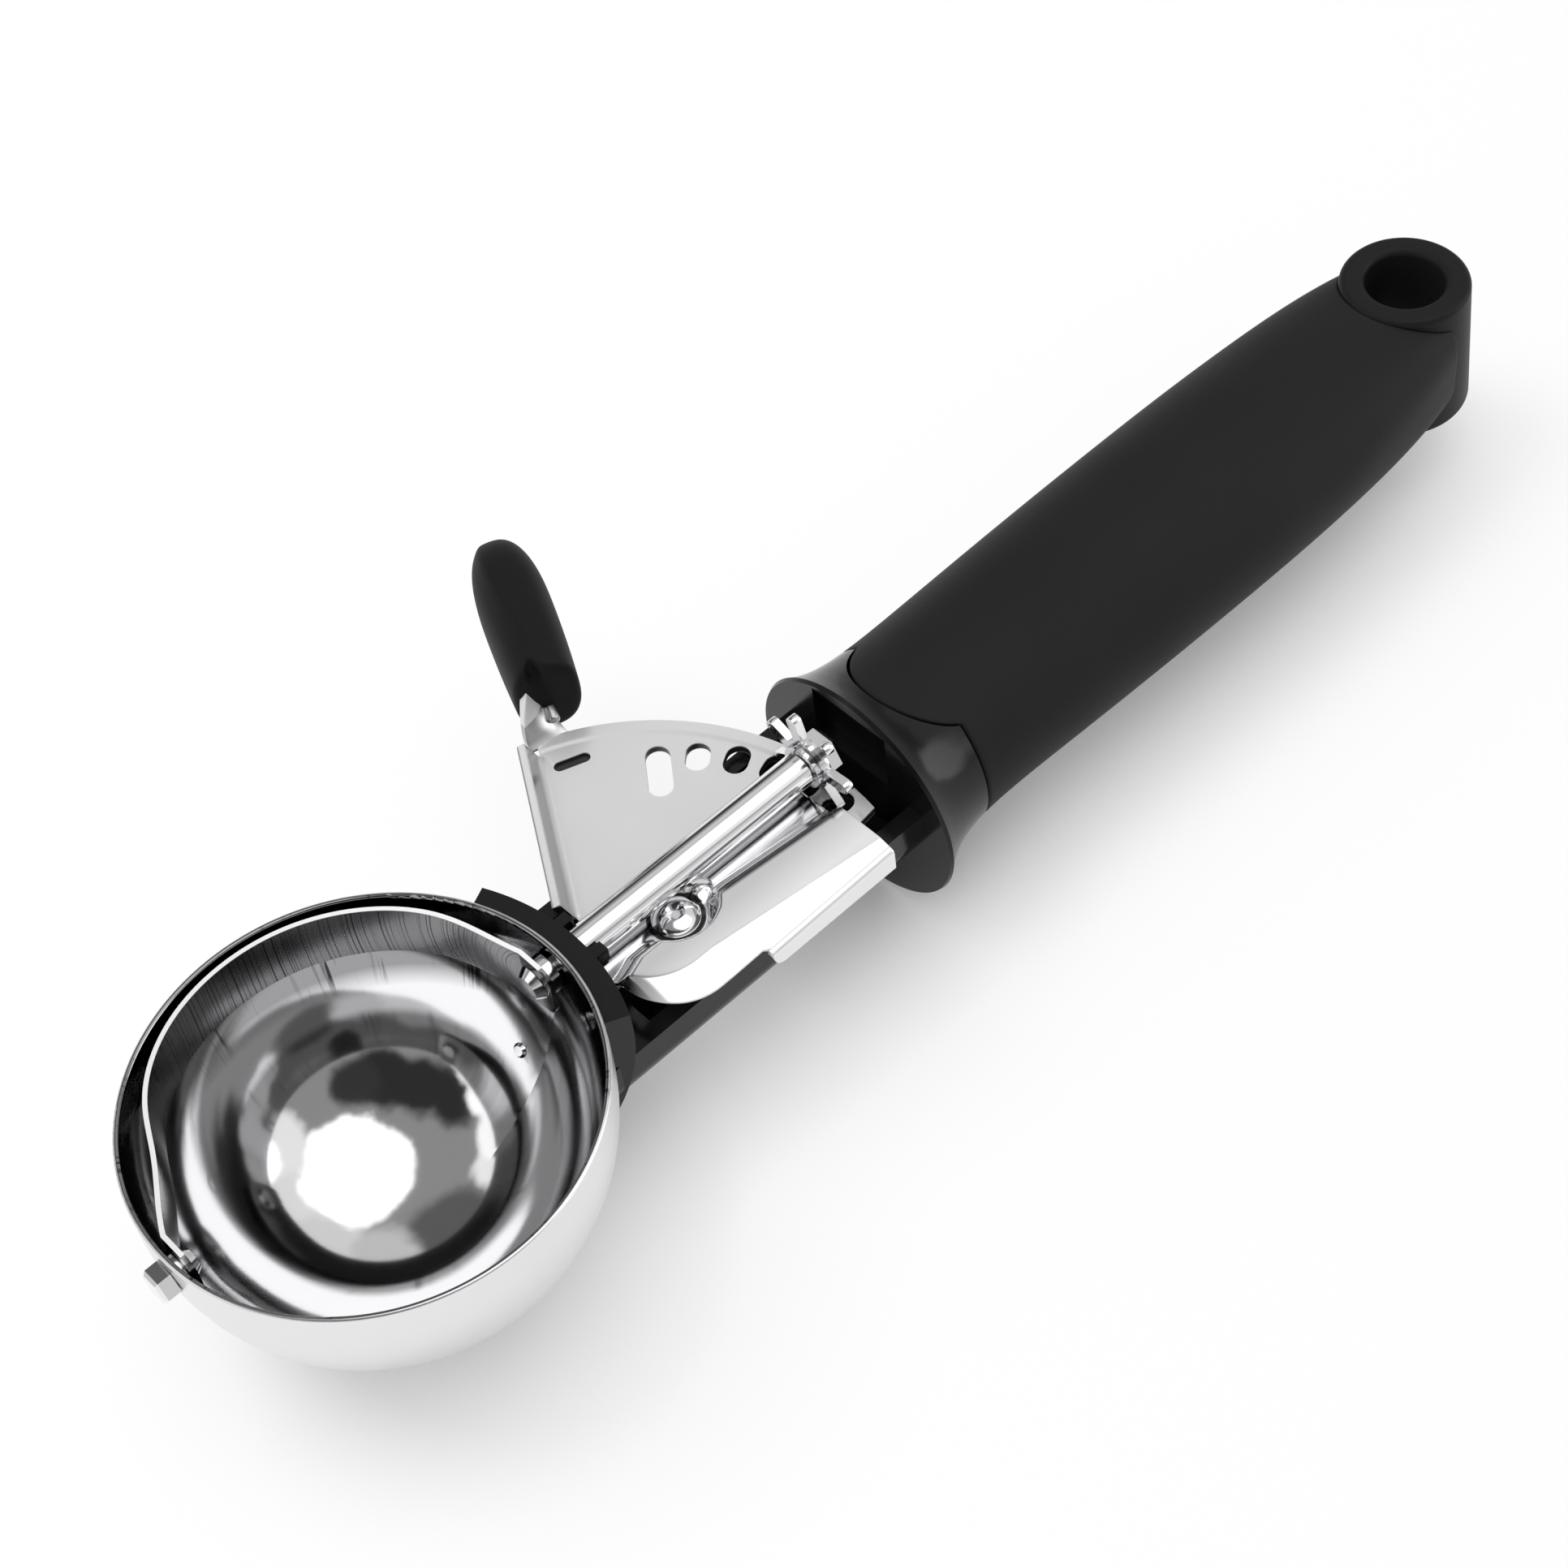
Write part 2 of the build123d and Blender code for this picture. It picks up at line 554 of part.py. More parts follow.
# Thumb pad: soft rounded cover with a slit for the lever's tab
with BuildPart() as thumb_pad:
    with BuildSketch(Plane(origin=(pad_origin.X, pad_origin.Y, PAD_BOTTOM), x_dir=pad_along)):
        with BuildLine():
            Line((0, -PAD_THICK * 0.36), (0, PAD_THICK * 0.36))
            Spline(
                (0, PAD_THICK * 0.36),
                (PAD_LENGTH * 0.55, PAD_THICK * 0.5),
                (PAD_LENGTH, 0),
                (PAD_LENGTH * 0.55, -PAD_THICK * 0.5),
                (0, -PAD_THICK * 0.36),
                tangents=((1, 0.25), (-1, 0.25)),
            )
        make_face()
    extrude(amount=PAD_HEIGHT)
    pad_middle = PAD_BOTTOM + PAD_HEIGHT / 2
    pad_side = Plane(
        origin=(pad_origin.X, pad_origin.Y, pad_middle),
        x_dir=pad_along,
        z_dir=pad_along.cross(Vector(0, 0, 1)),
    )
    with BuildSketch(pad_side):
        with BuildLine():
            Line((0, -PAD_HEIGHT * 0.34), (0, PAD_HEIGHT * 0.34))
            Spline(
                (0, PAD_HEIGHT * 0.34),
                (PAD_LENGTH * 0.55, PAD_HEIGHT * 0.5),
                (PAD_LENGTH, 0),
                (PAD_LENGTH * 0.55, -PAD_HEIGHT * 0.5),
                (0, -PAD_HEIGHT * 0.34),
                tangents=((1, 0.3), (-1, 0.3)),
            )
        make_face()
    extrude(amount=PAD_THICK, both=True, mode=Mode.INTERSECT)
    with BuildSketch(Plane(origin=(tab_start.X, tab_start.Y, SECTOR_BOTTOM - SEAT), x_dir=pad_along)):
        with Locations((TAB_LENGTH / 2 + SEAT, 0)):
            Rectangle(TAB_LENGTH + 2 * SEAT, SECTOR_THICK + 2 * SEAT)
    extrude(amount=TAB_TOP - SECTOR_BOTTOM + 2 * SEAT, mode=Mode.SUBTRACT)
save(thumb_pad, "thumb_pad")

# Lever rivet: domed head on the plate's floor, tail formed under the neck
RIVET_HEAD_HEIGHT = 1.25
RIVET_TAIL_HEIGHT = 1.0
with BuildPart() as lever_rivet:
    with BuildSketch(pivot_level(NECK_BOTTOM - SEAT)):
        Circle(RIVET_R)
    extrude(amount=PLATE_FLOOR_TOP - NECK_BOTTOM + 0.5)
    with BuildSketch(pivot_level(PLATE_FLOOR_TOP + FIT)):
        Circle(RIVET_HEAD_R)
    extrude(amount=RIVET_HEAD_HEIGHT, taper=38)
    with BuildSketch(pivot_level(PLATE_FLOOR_TOP + RIVET_HEAD_HEIGHT)):
        Circle(1.0)
    extrude(amount=-0.5, mode=Mode.SUBTRACT)
    with BuildSketch(pivot_level(NECK_BOTTOM - SEAT)):
        Circle(RIVET_HEAD_R)
    extrude(amount=-RIVET_TAIL_HEIGHT, taper=30)
save(lever_rivet, "lever_rivet")

# Lever washer: bearing washer between the neck's boss and the sector
BOSS_R = 3.3
LEVER_WASHER_THICK = 0.6
LEVER_WASHER_TOP = SECTOR_BOTTOM - 0.1
BOSS_TOP = LEVER_WASHER_TOP - LEVER_WASHER_THICK - SEAT
with BuildPart() as lever_washer:
    with BuildSketch(pivot_level(LEVER_WASHER_TOP)):
        Circle(BOSS_R + 0.4)
        Circle(RIVET_R + FIT, mode=Mode.SUBTRACT)
    extrude(amount=-LEVER_WASHER_THICK)
save(lever_washer, "lever_washer")

# Return spring: coil round the neck's boss, one leg on the side rail and one under the sector
coil_top = SECTOR_BOTTOM - SLIDE - WIRE_R
coil_bottom = coil_top - COIL_TURNS * COIL_PITCH
half_turns = 2 * COIL_TURNS
rail_leg = POCKET_HALF_WIDTH + LEVER_PIVOT_Y - WIRE_R
coil_rise = COIL_PITCH / (2 * pi * COIL_R)
coil_points = []
coil_tangents = []
for half in range(half_turns + 1):
    side = 1 if half % 2 == 0 else -1
    rise = 0 if half in (0, half_turns) else coil_rise
    coil_points.append(
        Vector(along(LEVER_PIVOT_X) + side * COIL_R, LEVER_PIVOT_Y, coil_bottom + half * COIL_PITCH / 2)
    )
    coil_tangents.append(Vector(0, side, rise).normalized())


def biarc_joint(start, end, leaving, arriving):
    """Point where the two arcs of a biarc meet, and its direction, between two points with theirs."""
    span = end - start
    both = leaving + arriving
    bend = 2 * (1 - leaving.dot(arriving))
    reach = (sqrt(span.dot(both) ** 2 + bend * span.dot(span)) - span.dot(both)) / bend
    before = start + leaving * reach
    after = end - arriving * reach
    return (before + after) * 0.5, (after - before).normalized()


with BuildPart() as return_spring:
    with BuildLine() as coil_line:
        Line(coil_points[0] - coil_tangents[0] * rail_leg, coil_points[0])
        for half in range(half_turns):
            joint, heading = biarc_joint(
                coil_points[half], coil_points[half + 1], coil_tangents[half], coil_tangents[half + 1]
            )
            TangentArc(coil_points[half], joint, tangent=coil_tangents[half])
            TangentArc(joint, coil_points[half + 1], tangent=heading)
        Line(coil_points[-1], coil_points[-1] + coil_tangents[-1] * SPRING_LEG)
    spring_path = coil_line.wires()[0]
    with BuildSketch(Plane(origin=spring_path @ 0, z_dir=spring_path % 0)):
        RegularPolygon(WIRE_R, WIRE_SIDES)
    sweep(path=spring_path)
save(return_spring, "return_spring")

GAP_SAMPLES = 300
wire_points = [spring_path @ (step / GAP_SAMPLES) for step in range(GAP_SAMPLES + 1)]
apart = int(GAP_SAMPLES * pi * COIL_R / spring_path.length)
turn_gap = min(
    (wire_points[first] - wire_points[second]).length
    for first in range(GAP_SAMPLES + 1)
    for second in range(first + apart, GAP_SAMPLES + 1)
)
print("least gap between the spring's turns, mm:", round(turn_gap - 2 * WIRE_R, 2))


# Handle form: the outer shape that the guard's collar and the grip share
def swell(x, middle, front_loss, rear_loss):
    """Half size of the handle at x: full in the middle and smaller toward both ends."""
    if x < GRIP_MIDDLE:
        return middle - front_loss * ((GRIP_MIDDLE - x) / GRIP_FRONT_SPAN) ** 2
    return middle - rear_loss * ((x - GRIP_MIDDLE) / GRIP_REAR_SPAN) ** 2.4


def half_width(x):
    """Half width of the handle at x, without the guard's flare."""
    return swell(x, GRIP_HALF_WIDTH, FRONT_WIDTH_LOSS, REAR_WIDTH_LOSS)


def half_height(x):
    """Half height of the handle at x, without the guard's flare."""
    return swell(x, GRIP_HALF_HEIGHT, FRONT_HEIGHT_LOSS, REAR_HEIGHT_LOSS)


def squareness(x):
    """Power of the handle's section at x: 2 is an ellipse, and more has flatter sides."""
    return 2 + 2.4 * (max(0.0, x - GRIP_MIDDLE) / GRIP_REAR_SPAN) ** 3


def section_points(wide, tall, power, count=20):
    """Points round a section of given half sizes."""
    points = []
    for step in range(count):
        turn = 2 * pi * step / count
        y = abs(cos(turn)) ** (2 / power) * (1 if cos(turn) > 0 else -1)
        z = abs(sin(turn)) ** (2 / power) * (1 if sin(turn) > 0 else -1)
        points.append((wide * y, tall * z))
    return points


flare_width = GUARD_HALF_WIDTH - half_width(GUARD_FRONT)
flare_height = GUARD_HALF_HEIGHT - half_height(GUARD_FRONT)
collar_stations = [GUARD_FRONT + COLLAR_LENGTH * step / 8 for step in range(9)]
grip_stations = [COLLAR_END + (HANDLE_END - COLLAR_END) * step / 7 for step in range(8)]
with BuildPart() as handle_form:
    for stations in (collar_stations, grip_stations):
        for x in stations:
            flare = exp((GUARD_FRONT - x) / GUARD_REACH)
            with BuildSketch(across(x, z=-GUARD_DROP * flare)):
                with BuildLine():
                    wide = half_width(x) + flare_width * flare
                    tall = half_height(x) + flare_height * flare
                    Spline(*section_points(wide, tall, squareness(x)), periodic=True)
                make_face()
        loft()

# Neck frame: cradle, trough, guard and collar moulded in one
cradle_start = Vector(*polar(1, -CRADLE_HALF_ANGLE), 0)
cradle_plane = Plane(origin=bowl_centre, x_dir=cradle_start, z_dir=cradle_start.cross(Vector(0, 0, 1)))
CRADLE_TOP = RIM_ABOVE_AXIS - CRADLE_BELOW_RIM
bowl_seat = BOWL_OUTER_R + SEAT
with BuildPart() as neck_frame:
    add(handle_form.part)
    with BuildSketch(level(-40)):
        with BuildLine():
            cusp = TONGUE_CUSP - GROOVE
            Polyline(
                (cusp, TONGUE_HALF_WIDTH),
                (cusp - TONGUE_SLANT, CUT_HALF_WIDTH),
                (GUARD_FRONT - 10, CUT_HALF_WIDTH),
                (GUARD_FRONT - 10, -CUT_HALF_WIDTH),
                (cusp - TONGUE_SLANT, -CUT_HALF_WIDTH),
                (cusp, -TONGUE_HALF_WIDTH),
            )
            ThreePointArc(
                (cusp, -TONGUE_HALF_WIDTH), (TONGUE_TIP - GROOVE, 0), (cusp, TONGUE_HALF_WIDTH)
            )
        make_face()
    extrude(amount=80, mode=Mode.INTERSECT)
    chamfer(neck_frame.faces().sort_by(Axis.X)[0].edges(), GUARD_EDGE)
    with BuildSketch(across(NECK_START, z=0)):
        with BuildLine():
            hull_side = NECK_TOP - NECK_SIDE
            Line((NECK_HALF_WIDTH, hull_side), (NECK_HALF_WIDTH, NECK_TOP))
            Line((NECK_HALF_WIDTH, NECK_TOP), (-NECK_HALF_WIDTH, NECK_TOP))
            Line((-NECK_HALF_WIDTH, NECK_TOP), (-NECK_HALF_WIDTH, hull_side))
            EllipticalCenterArc(
                (0, hull_side), NECK_HALF_WIDTH, hull_side - NECK_BOTTOM, start_angle=180, arc_size=180
            )
        make_face()
    extrude(amount=GUARD_FRONT + 1.5 - NECK_START)
    with BuildSketch(cradle_plane):
        with BuildLine():
            CenterArc((0, 0), CRADLE_R, -CRADLE_DROP, CRADLE_DROP)
            Line((CRADLE_R, 0), (CRADLE_R, CRADLE_TOP))
            Line((CRADLE_R, CRADLE_TOP), (BOWL_OUTER_R - 1, CRADLE_TOP))
            Line((BOWL_OUTER_R - 1, CRADLE_TOP), (BOWL_OUTER_R - 1, 0))
            CenterArc((0, 0), BOWL_OUTER_R - 1, 0, -CRADLE_DROP)
            Line(polar(BOWL_OUTER_R - 1, -CRADLE_DROP), polar(CRADLE_R, -CRADLE_DROP))
        make_face()
    revolve(axis=bowl_axis, revolution_arc=2 * CRADLE_HALF_ANGLE)
    with BuildSketch(level(AXIS_HEIGHT - LUG_DROP)):
        lug_side = TUBE_R + FIT + LUG_WIDTH / 2
        with Locations((CRADLE_R + LUG_LENGTH / 4, lug_side), (CRADLE_R + LUG_LENGTH / 4, -lug_side)):
            Rectangle(LUG_LENGTH, LUG_WIDTH)
    extrude(amount=LUG_HEIGHT)
    with BuildSketch(across(CRADLE_R + 1.5, z=0)):
        with BuildLine():
            Line((POCKET_HALF_WIDTH, hull_side), (POCKET_HALF_WIDTH, AXIS_HEIGHT))
            Line((POCKET_HALF_WIDTH, AXIS_HEIGHT), (-POCKET_HALF_WIDTH, AXIS_HEIGHT))
            Line((-POCKET_HALF_WIDTH, AXIS_HEIGHT), (-POCKET_HALF_WIDTH, hull_side))
            EllipticalCenterArc(
                (0, hull_side), POCKET_HALF_WIDTH, hull_side - NECK_BOTTOM - NECK_WALL, start_angle=180, arc_size=180
            )
        make_face()
    extrude(amount=GUARD_FRONT - CRADLE_R - 1.5, mode=Mode.SUBTRACT)
    with BuildSketch(pivot_level(NECK_BOTTOM)):
        Circle(BOSS_R)
    extrude(amount=BOSS_TOP - NECK_BOTTOM)
    with BuildSketch(pivot_level(NECK_BOTTOM)):
        Circle(RIVET_HEAD_R + 0.6)
    extrude(amount=NECK_WALL)
    with BuildSketch(pivot_level(NECK_BOTTOM - 1)):
        Circle(RIVET_R + FIT)
    extrude(amount=BOSS_TOP - NECK_BOTTOM + 2, mode=Mode.SUBTRACT)
    with BuildSketch(bowl_section):
        with BuildLine():
            CenterArc((0, 0), bowl_seat, -90, 90)
            Polyline((bowl_seat, 0), (bowl_seat, 30), (0, 30), (0, -bowl_seat))
        make_face()
    revolve(axis=bowl_axis, mode=Mode.SUBTRACT)
    with BuildSketch(across(BOWL_OUTER_R - 1)):
        Circle(TUBE_R + FIT)
    extrude(amount=CRADLE_THICK + 4, mode=Mode.SUBTRACT)
    with BuildSketch(rivet_plane(BOWL_OUTER_R)):
        Circle(BOWL_RIVET_R + FIT)
    extrude(amount=CRADLE_THICK + 1, mode=Mode.SUBTRACT)
    with BuildSketch(rivet_plane(CRADLE_R)):
        Circle(BOWL_RIVET_TAIL_R + SLIDE)
    extrude(amount=CRADLE_THICK, mode=Mode.SUBTRACT)
    with BuildSketch(across(GUARD_FRONT - 0.5, z=0)):
        with Locations((0, 8.5)):
            Rectangle(13, 9)
    extrude(amount=2.0, mode=Mode.SUBTRACT)
    with BuildSketch(across(CORE_FRONT - SEAT, z=0)):
        RectangleRounded(CORE_WIDTH + 2 * SEAT, CORE_HEIGHT + 2 * SEAT, 3)
    extrude(amount=30, mode=Mode.SUBTRACT)
save(neck_frame, "neck_frame")

# Handle core: rigid bar from the collar's socket to the hang eye
with BuildPart() as handle_core:
    with BuildSketch(across(CORE_FRONT, z=0)):
        RectangleRounded(CORE_WIDTH, CORE_HEIGHT, 3)
    extrude(amount=CORE_REAR - along(CORE_FRONT))
save(handle_core, "handle_core")

# Grip sleeve: soft cover whose front tongue laps over the collar
with BuildPart() as grip_sleeve:
    add(handle_form.part)
    with BuildSketch(level(-40)):
        rear_cut = BOWL_TO_HOLE + EYE_GRIP_END
        with BuildLine():
            Polyline(
                (TONGUE_CUSP, -TONGUE_HALF_WIDTH),
                (TONGUE_CUSP - TONGUE_SLANT, -CUT_HALF_WIDTH),
                (rear_cut, -CUT_HALF_WIDTH),
                (rear_cut, CUT_HALF_WIDTH),
                (TONGUE_CUSP - TONGUE_SLANT, CUT_HALF_WIDTH),
                (TONGUE_CUSP, TONGUE_HALF_WIDTH),
            )
            ThreePointArc(
                (TONGUE_CUSP, TONGUE_HALF_WIDTH), (TONGUE_TIP, 0), (TONGUE_CUSP, -TONGUE_HALF_WIDTH)
            )
        make_face()
    extrude(amount=80, mode=Mode.INTERSECT)
    with BuildSketch(across(CORE_FRONT, z=0)):
        RectangleRounded(CORE_WIDTH + 2 * SEAT, CORE_HEIGHT + 2 * SEAT, 3)
    extrude(amount=BOWL_TO_HOLE - CORE_FRONT, mode=Mode.SUBTRACT)
    with BuildSketch(Plane.XZ):
        Polygon(
            (0, EYE_BOTTOM - 5),
            (EYE_FOOT_R + SEAT, EYE_BOTTOM - 5),
            (EYE_FOOT_R + SEAT, EYE_BOTTOM + EYE_CHAMFER),
            (EYE_R + SEAT, EYE_TOP - EYE_CHAMFER),
            (EYE_R + SEAT, EYE_TOP + 5),
            (0, EYE_TOP + 5),
            align=None,
        )
    revolve(axis=Axis.Z, mode=Mode.SUBTRACT)
save(grip_sleeve, "grip_sleeve")

# Hang eye: upright ring at the handle's end with a stub that meets the core
with BuildPart() as hang_eye:
    with BuildSketch(Plane.XZ):
        Polygon(
            (0, EYE_BOTTOM),
            (EYE_FOOT_R - EYE_CHAMFER, EYE_BOTTOM),
            (EYE_FOOT_R, EYE_BOTTOM + EYE_CHAMFER),
            (EYE_R, EYE_TOP - EYE_CHAMFER),
            (EYE_R - EYE_CHAMFER, EYE_TOP),
            (0, EYE_TOP),
            align=None,
        )
    revolve(axis=Axis.Z)
    with BuildSketch(Plane(origin=(CORE_REAR + SEAT, 0, 0), x_dir=(0, 1, 0), z_dir=(1, 0, 0))):
        RectangleRounded(CORE_WIDTH - 3, CORE_HEIGHT - 2, 2)
    extrude(amount=-CORE_REAR - 2)
    with BuildSketch(Plane.XY.offset(EYE_BOTTOM - 1)):
        Circle(HANG_HOLE_R)
    extrude(amount=EYE_TOP - EYE_BOTTOM + 2, mode=Mode.SUBTRACT)
save(hang_eye, "hang_eye")
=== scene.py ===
"""Looks of a thumb-lever ice cream scoop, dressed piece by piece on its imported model.

Pieces are modelled in millimetres in the scoop's own frame and brought to metres when they are finished.
"""

import json
from math import atan2, cos, degrees, exp, hypot, pi, radians, sin, sqrt

import bmesh
import bpy
from bpy.props import FloatProperty, FloatVectorProperty, PointerProperty
from mathutils import Matrix, Vector


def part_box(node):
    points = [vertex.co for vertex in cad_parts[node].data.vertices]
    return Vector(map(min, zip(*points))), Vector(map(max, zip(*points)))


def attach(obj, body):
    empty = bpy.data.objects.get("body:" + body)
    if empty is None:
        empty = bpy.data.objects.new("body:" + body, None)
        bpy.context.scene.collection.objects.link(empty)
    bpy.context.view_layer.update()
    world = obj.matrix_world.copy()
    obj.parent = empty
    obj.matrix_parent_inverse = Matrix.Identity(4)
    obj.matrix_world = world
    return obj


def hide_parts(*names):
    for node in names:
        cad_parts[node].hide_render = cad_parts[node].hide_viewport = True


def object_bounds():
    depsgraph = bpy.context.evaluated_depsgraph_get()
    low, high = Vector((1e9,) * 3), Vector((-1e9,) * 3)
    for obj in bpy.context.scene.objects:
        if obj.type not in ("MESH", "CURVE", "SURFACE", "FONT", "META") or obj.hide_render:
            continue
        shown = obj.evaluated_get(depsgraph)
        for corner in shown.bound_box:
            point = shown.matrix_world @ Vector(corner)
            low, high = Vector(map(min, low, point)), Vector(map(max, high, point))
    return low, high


bl_info = {
    "name": "Ice Cream Scoop Looks",
    "version": (1, 0, 0),
    "blender": (4, 5, 0),
    "location": "3D View > Sidebar > Scoop",
    "description": "Dresses the pieces of a thumb-lever ice cream scoop",
    "category": "Object",
}

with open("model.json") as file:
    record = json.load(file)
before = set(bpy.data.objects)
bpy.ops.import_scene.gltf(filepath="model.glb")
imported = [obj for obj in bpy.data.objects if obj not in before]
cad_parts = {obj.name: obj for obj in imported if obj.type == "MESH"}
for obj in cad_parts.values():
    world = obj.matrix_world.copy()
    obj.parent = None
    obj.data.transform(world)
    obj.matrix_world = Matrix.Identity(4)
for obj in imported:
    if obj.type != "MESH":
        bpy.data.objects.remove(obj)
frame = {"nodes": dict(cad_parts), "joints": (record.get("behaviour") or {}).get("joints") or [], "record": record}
CAD_LOW, CAD_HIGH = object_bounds()

MM = 0.001
PER_METRE = 1000.0
MERGE = 0.0005
CREASE = radians(38)
BEVEL_STEPS = 2
SHARP_FROM = radians(50)
SENSOR_WIDTH = 36.0
PHOTO_WIDTH_PX = 1932
FOCAL_LENGTH_PX = 3600


def box_mm(node):
    """Lowest and highest corner of a node, in millimetres."""
    low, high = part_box(node)
    return low * PER_METRE, high * PER_METRE


joints = {joint["name"]: joint for joint in frame["joints"]}
PIVOT = Vector(joints["lever_squeeze"]["pos_m"]) * PER_METRE
BOWL_CENTRE = Vector(joints["scraper_turn"]["pos_m"]) * PER_METRE
bowl_low, bowl_high = box_mm("bowl")
BOWL_R = (bowl_high.x - bowl_low.x) / 2
BOWL_WALL = 0.8
SHEET = 1.2
SECTOR_BOTTOM = box_mm("sector_lever")[0].z
SECTOR_TOP = SECTOR_BOTTOM + SHEET
pinion_low, pinion_high = box_mm("pinion")
plate_low, plate_high = box_mm("mechanism_plate")
eye_low, eye_high = box_mm("hang_eye")
GRIP_REAR = box_mm("grip_sleeve")[1].x
rivet_low, rivet_high = box_mm("lever_rivet")
BLADE_TOP = box_mm("scraper_blade")[1].z
spring_low, spring_high = box_mm("return_spring")


def length_setting(name, description, millimetres):
    """Length that a user may change."""
    return FloatProperty(
        name=name, description=description, default=millimetres * MM, unit="LENGTH", subtype="DISTANCE"
    )


def angle_setting(name, description, degrees):
    """Angle that a user may change."""
    return FloatProperty(name=name, description=description, default=radians(degrees), subtype="ANGLE")


def colour_setting(name, description, red, green, blue):
    """Colour that a user may change."""
    return FloatVectorProperty(
        name=name, description=description, default=(red, green, blue, 1.0), size=4, subtype="COLOR"
    )


class ScoopSizes(bpy.types.PropertyGroup):
    """Small sizes of the finish that a user may change."""

    edge_round: length_setting("Edge round", "Rounding on the edges of stamped steel", 0.18)
    seam_lip: length_setting("Seam lip", "Radius of the grip's edge along the seam with the collar", 0.55)
    wire_radius: length_setting("Spring wire", "Radius of the return spring's wire", 0.4)
    eye_round: length_setting("Eye round", "Rounding on the hang eye's edges", 1.0)
    notch_depth: length_setting("Pad notch", "Depth of the thumb pad's notch for the lever's tab", 1.8)
    step_height: length_setting("Coined step", "Height of the step along the sector's round edge", 0.12)


class ScoopColours(bpy.types.PropertyGroup):
    """Base colours of the finishes."""

    polished: colour_setting("Polished bowl", "Colour of the bowl's polished steel", 0.80, 0.80, 0.81)
    bright: colour_setting("Bright steel", "Colour of the plated pieces", 0.90, 0.90, 0.91)
    satin: colour_setting("Satin sheet", "Colour of the stamped sector", 0.82, 0.82, 0.825)
    wire: colour_setting("Spring wire", "Colour of the spring", 0.50, 0.50, 0.51)
    gloss_black: colour_setting("Gloss black", "Colour of the neck, guard and collar", 0.006, 0.006, 0.0062)
    grip_black: colour_setting("Grip black", "Colour of the soft grip", 0.012, 0.0122, 0.0122)
    pad_black: colour_setting("Pad black", "Colour of the thumb pad", 0.009, 0.009, 0.009)
    floor_white: colour_setting("Floor", "Colour of the floor", 0.92, 0.92, 0.92)


class ScoopView(bpy.types.PropertyGroup):
    """The camera's place."""

    azimuth: angle_setting("Azimuth", "Direction from the target to the camera, from +X toward +Y", -126.87)
    elevation: angle_setting("Elevation", "Height of the camera above the horizon", 51.27)
    roll: angle_setting("Roll", "Turn of the camera about its own axis", -8.5)
    distance: length_setting("Distance", "Distance from the target to the camera", 357.84)
    target: FloatVectorProperty(
        name="Target",
        description="Point that the camera looks at",
        default=(-122.78 * MM, -3.12 * MM, 14.5 * MM),
        size=3,
        unit="LENGTH",
        subtype="TRANSLATION",
    )
    lens: FloatProperty(
        name="Lens",
        description="Focal length in millimetres on a 36 mm sensor",
        default=FOCAL_LENGTH_PX / PHOTO_WIDTH_PX * SENSOR_WIDTH,
    )


# Meshes

def smooth_step(low, high, value):
    """0 below low, 1 above high and a smooth rise between."""
    share = min(1.0, max(0.0, (value - low) / (high - low)))
    return share * share * (3 - 2 * share)


def arc_points(centre, radius, start, end, steps):
    """Points on an arc in a plane, from one angle to another in degrees."""
    points = []
    for step in range(steps + 1):
        angle = radians(start + (end - start) * step / steps)
        points.append((centre[0] + radius * cos(angle), centre[1] + radius * sin(angle)))
    return points


def toward(azimuth, elevation):
    """Unit vector at an azimuth and an elevation."""
    across = cos(elevation)
    return Vector((across * cos(azimuth), across * sin(azimuth), sin(elevation)))


def quarter_turn(steps):
    """Angles of a quarter turn."""
    return [pi / 2 * step / steps for step in range(steps + 1)]


def curve_point(points, share):
    """Point on a Bezier curve with any number of handles."""
    while len(points) > 1:
        points = [first.lerp(second, share) for first, second in zip(points, points[1:])]
    return points[0]


def lathe(bm, profile, centre, axis, steps):
    """Spin a profile of (radius, height along the axis) points into a round form."""
    axis = Vector(axis).normalized()
    side = axis.orthogonal().normalized()
    verts = [bm.verts.new(centre + axis * height + side * radius) for radius, height in profile]
    edges = [bm.edges.new(pair) for pair in zip(verts, verts[1:])]
    bmesh.ops.spin(
        bm, geom=verts + edges, cent=centre, axis=axis, angle=2 * pi, steps=steps, use_merge=True
    )
    bmesh.ops.remove_doubles(bm, verts=bm.verts[:], dist=MERGE)


def mapped_grid(bm, columns, rows, place):
    """Grid over the unit square whose points are carried to a surface by place(u, v)."""
    made = bmesh.ops.create_grid(bm, x_segments=columns, y_segments=rows, size=0.5)
    for vert in made["verts"]:
        vert.co = Vector(place(vert.co.x + 0.5, vert.co.y + 0.5))


def flat_plate(bm, loops, height, thick, placing):
    """Plate whose outline and holes are closed loops of (x, y) points, carried to its place."""
    edges = []
    verts = []
    for loop in loops:
        ring = [bm.verts.new((x, y, height)) for x, y in loop]
        verts += ring
        edges += [bm.edges.new(pair) for pair in zip(ring, ring[1:] + ring[:1])]
    filled = bmesh.ops.triangle_fill(bm, edges=edges, use_beauty=True, use_dissolve=False)
    faces = [item for item in filled["geom"] if isinstance(item, bmesh.types.BMFace)]
    raised = bmesh.ops.extrude_face_region(bm, geom=faces)
    top = [item for item in raised["geom"] if isinstance(item, bmesh.types.BMVert)]
    bmesh.ops.translate(bm, vec=(0, 0, thick), verts=top)
    bmesh.ops.transform(bm, matrix=placing, verts=verts + top)
    return verts + top


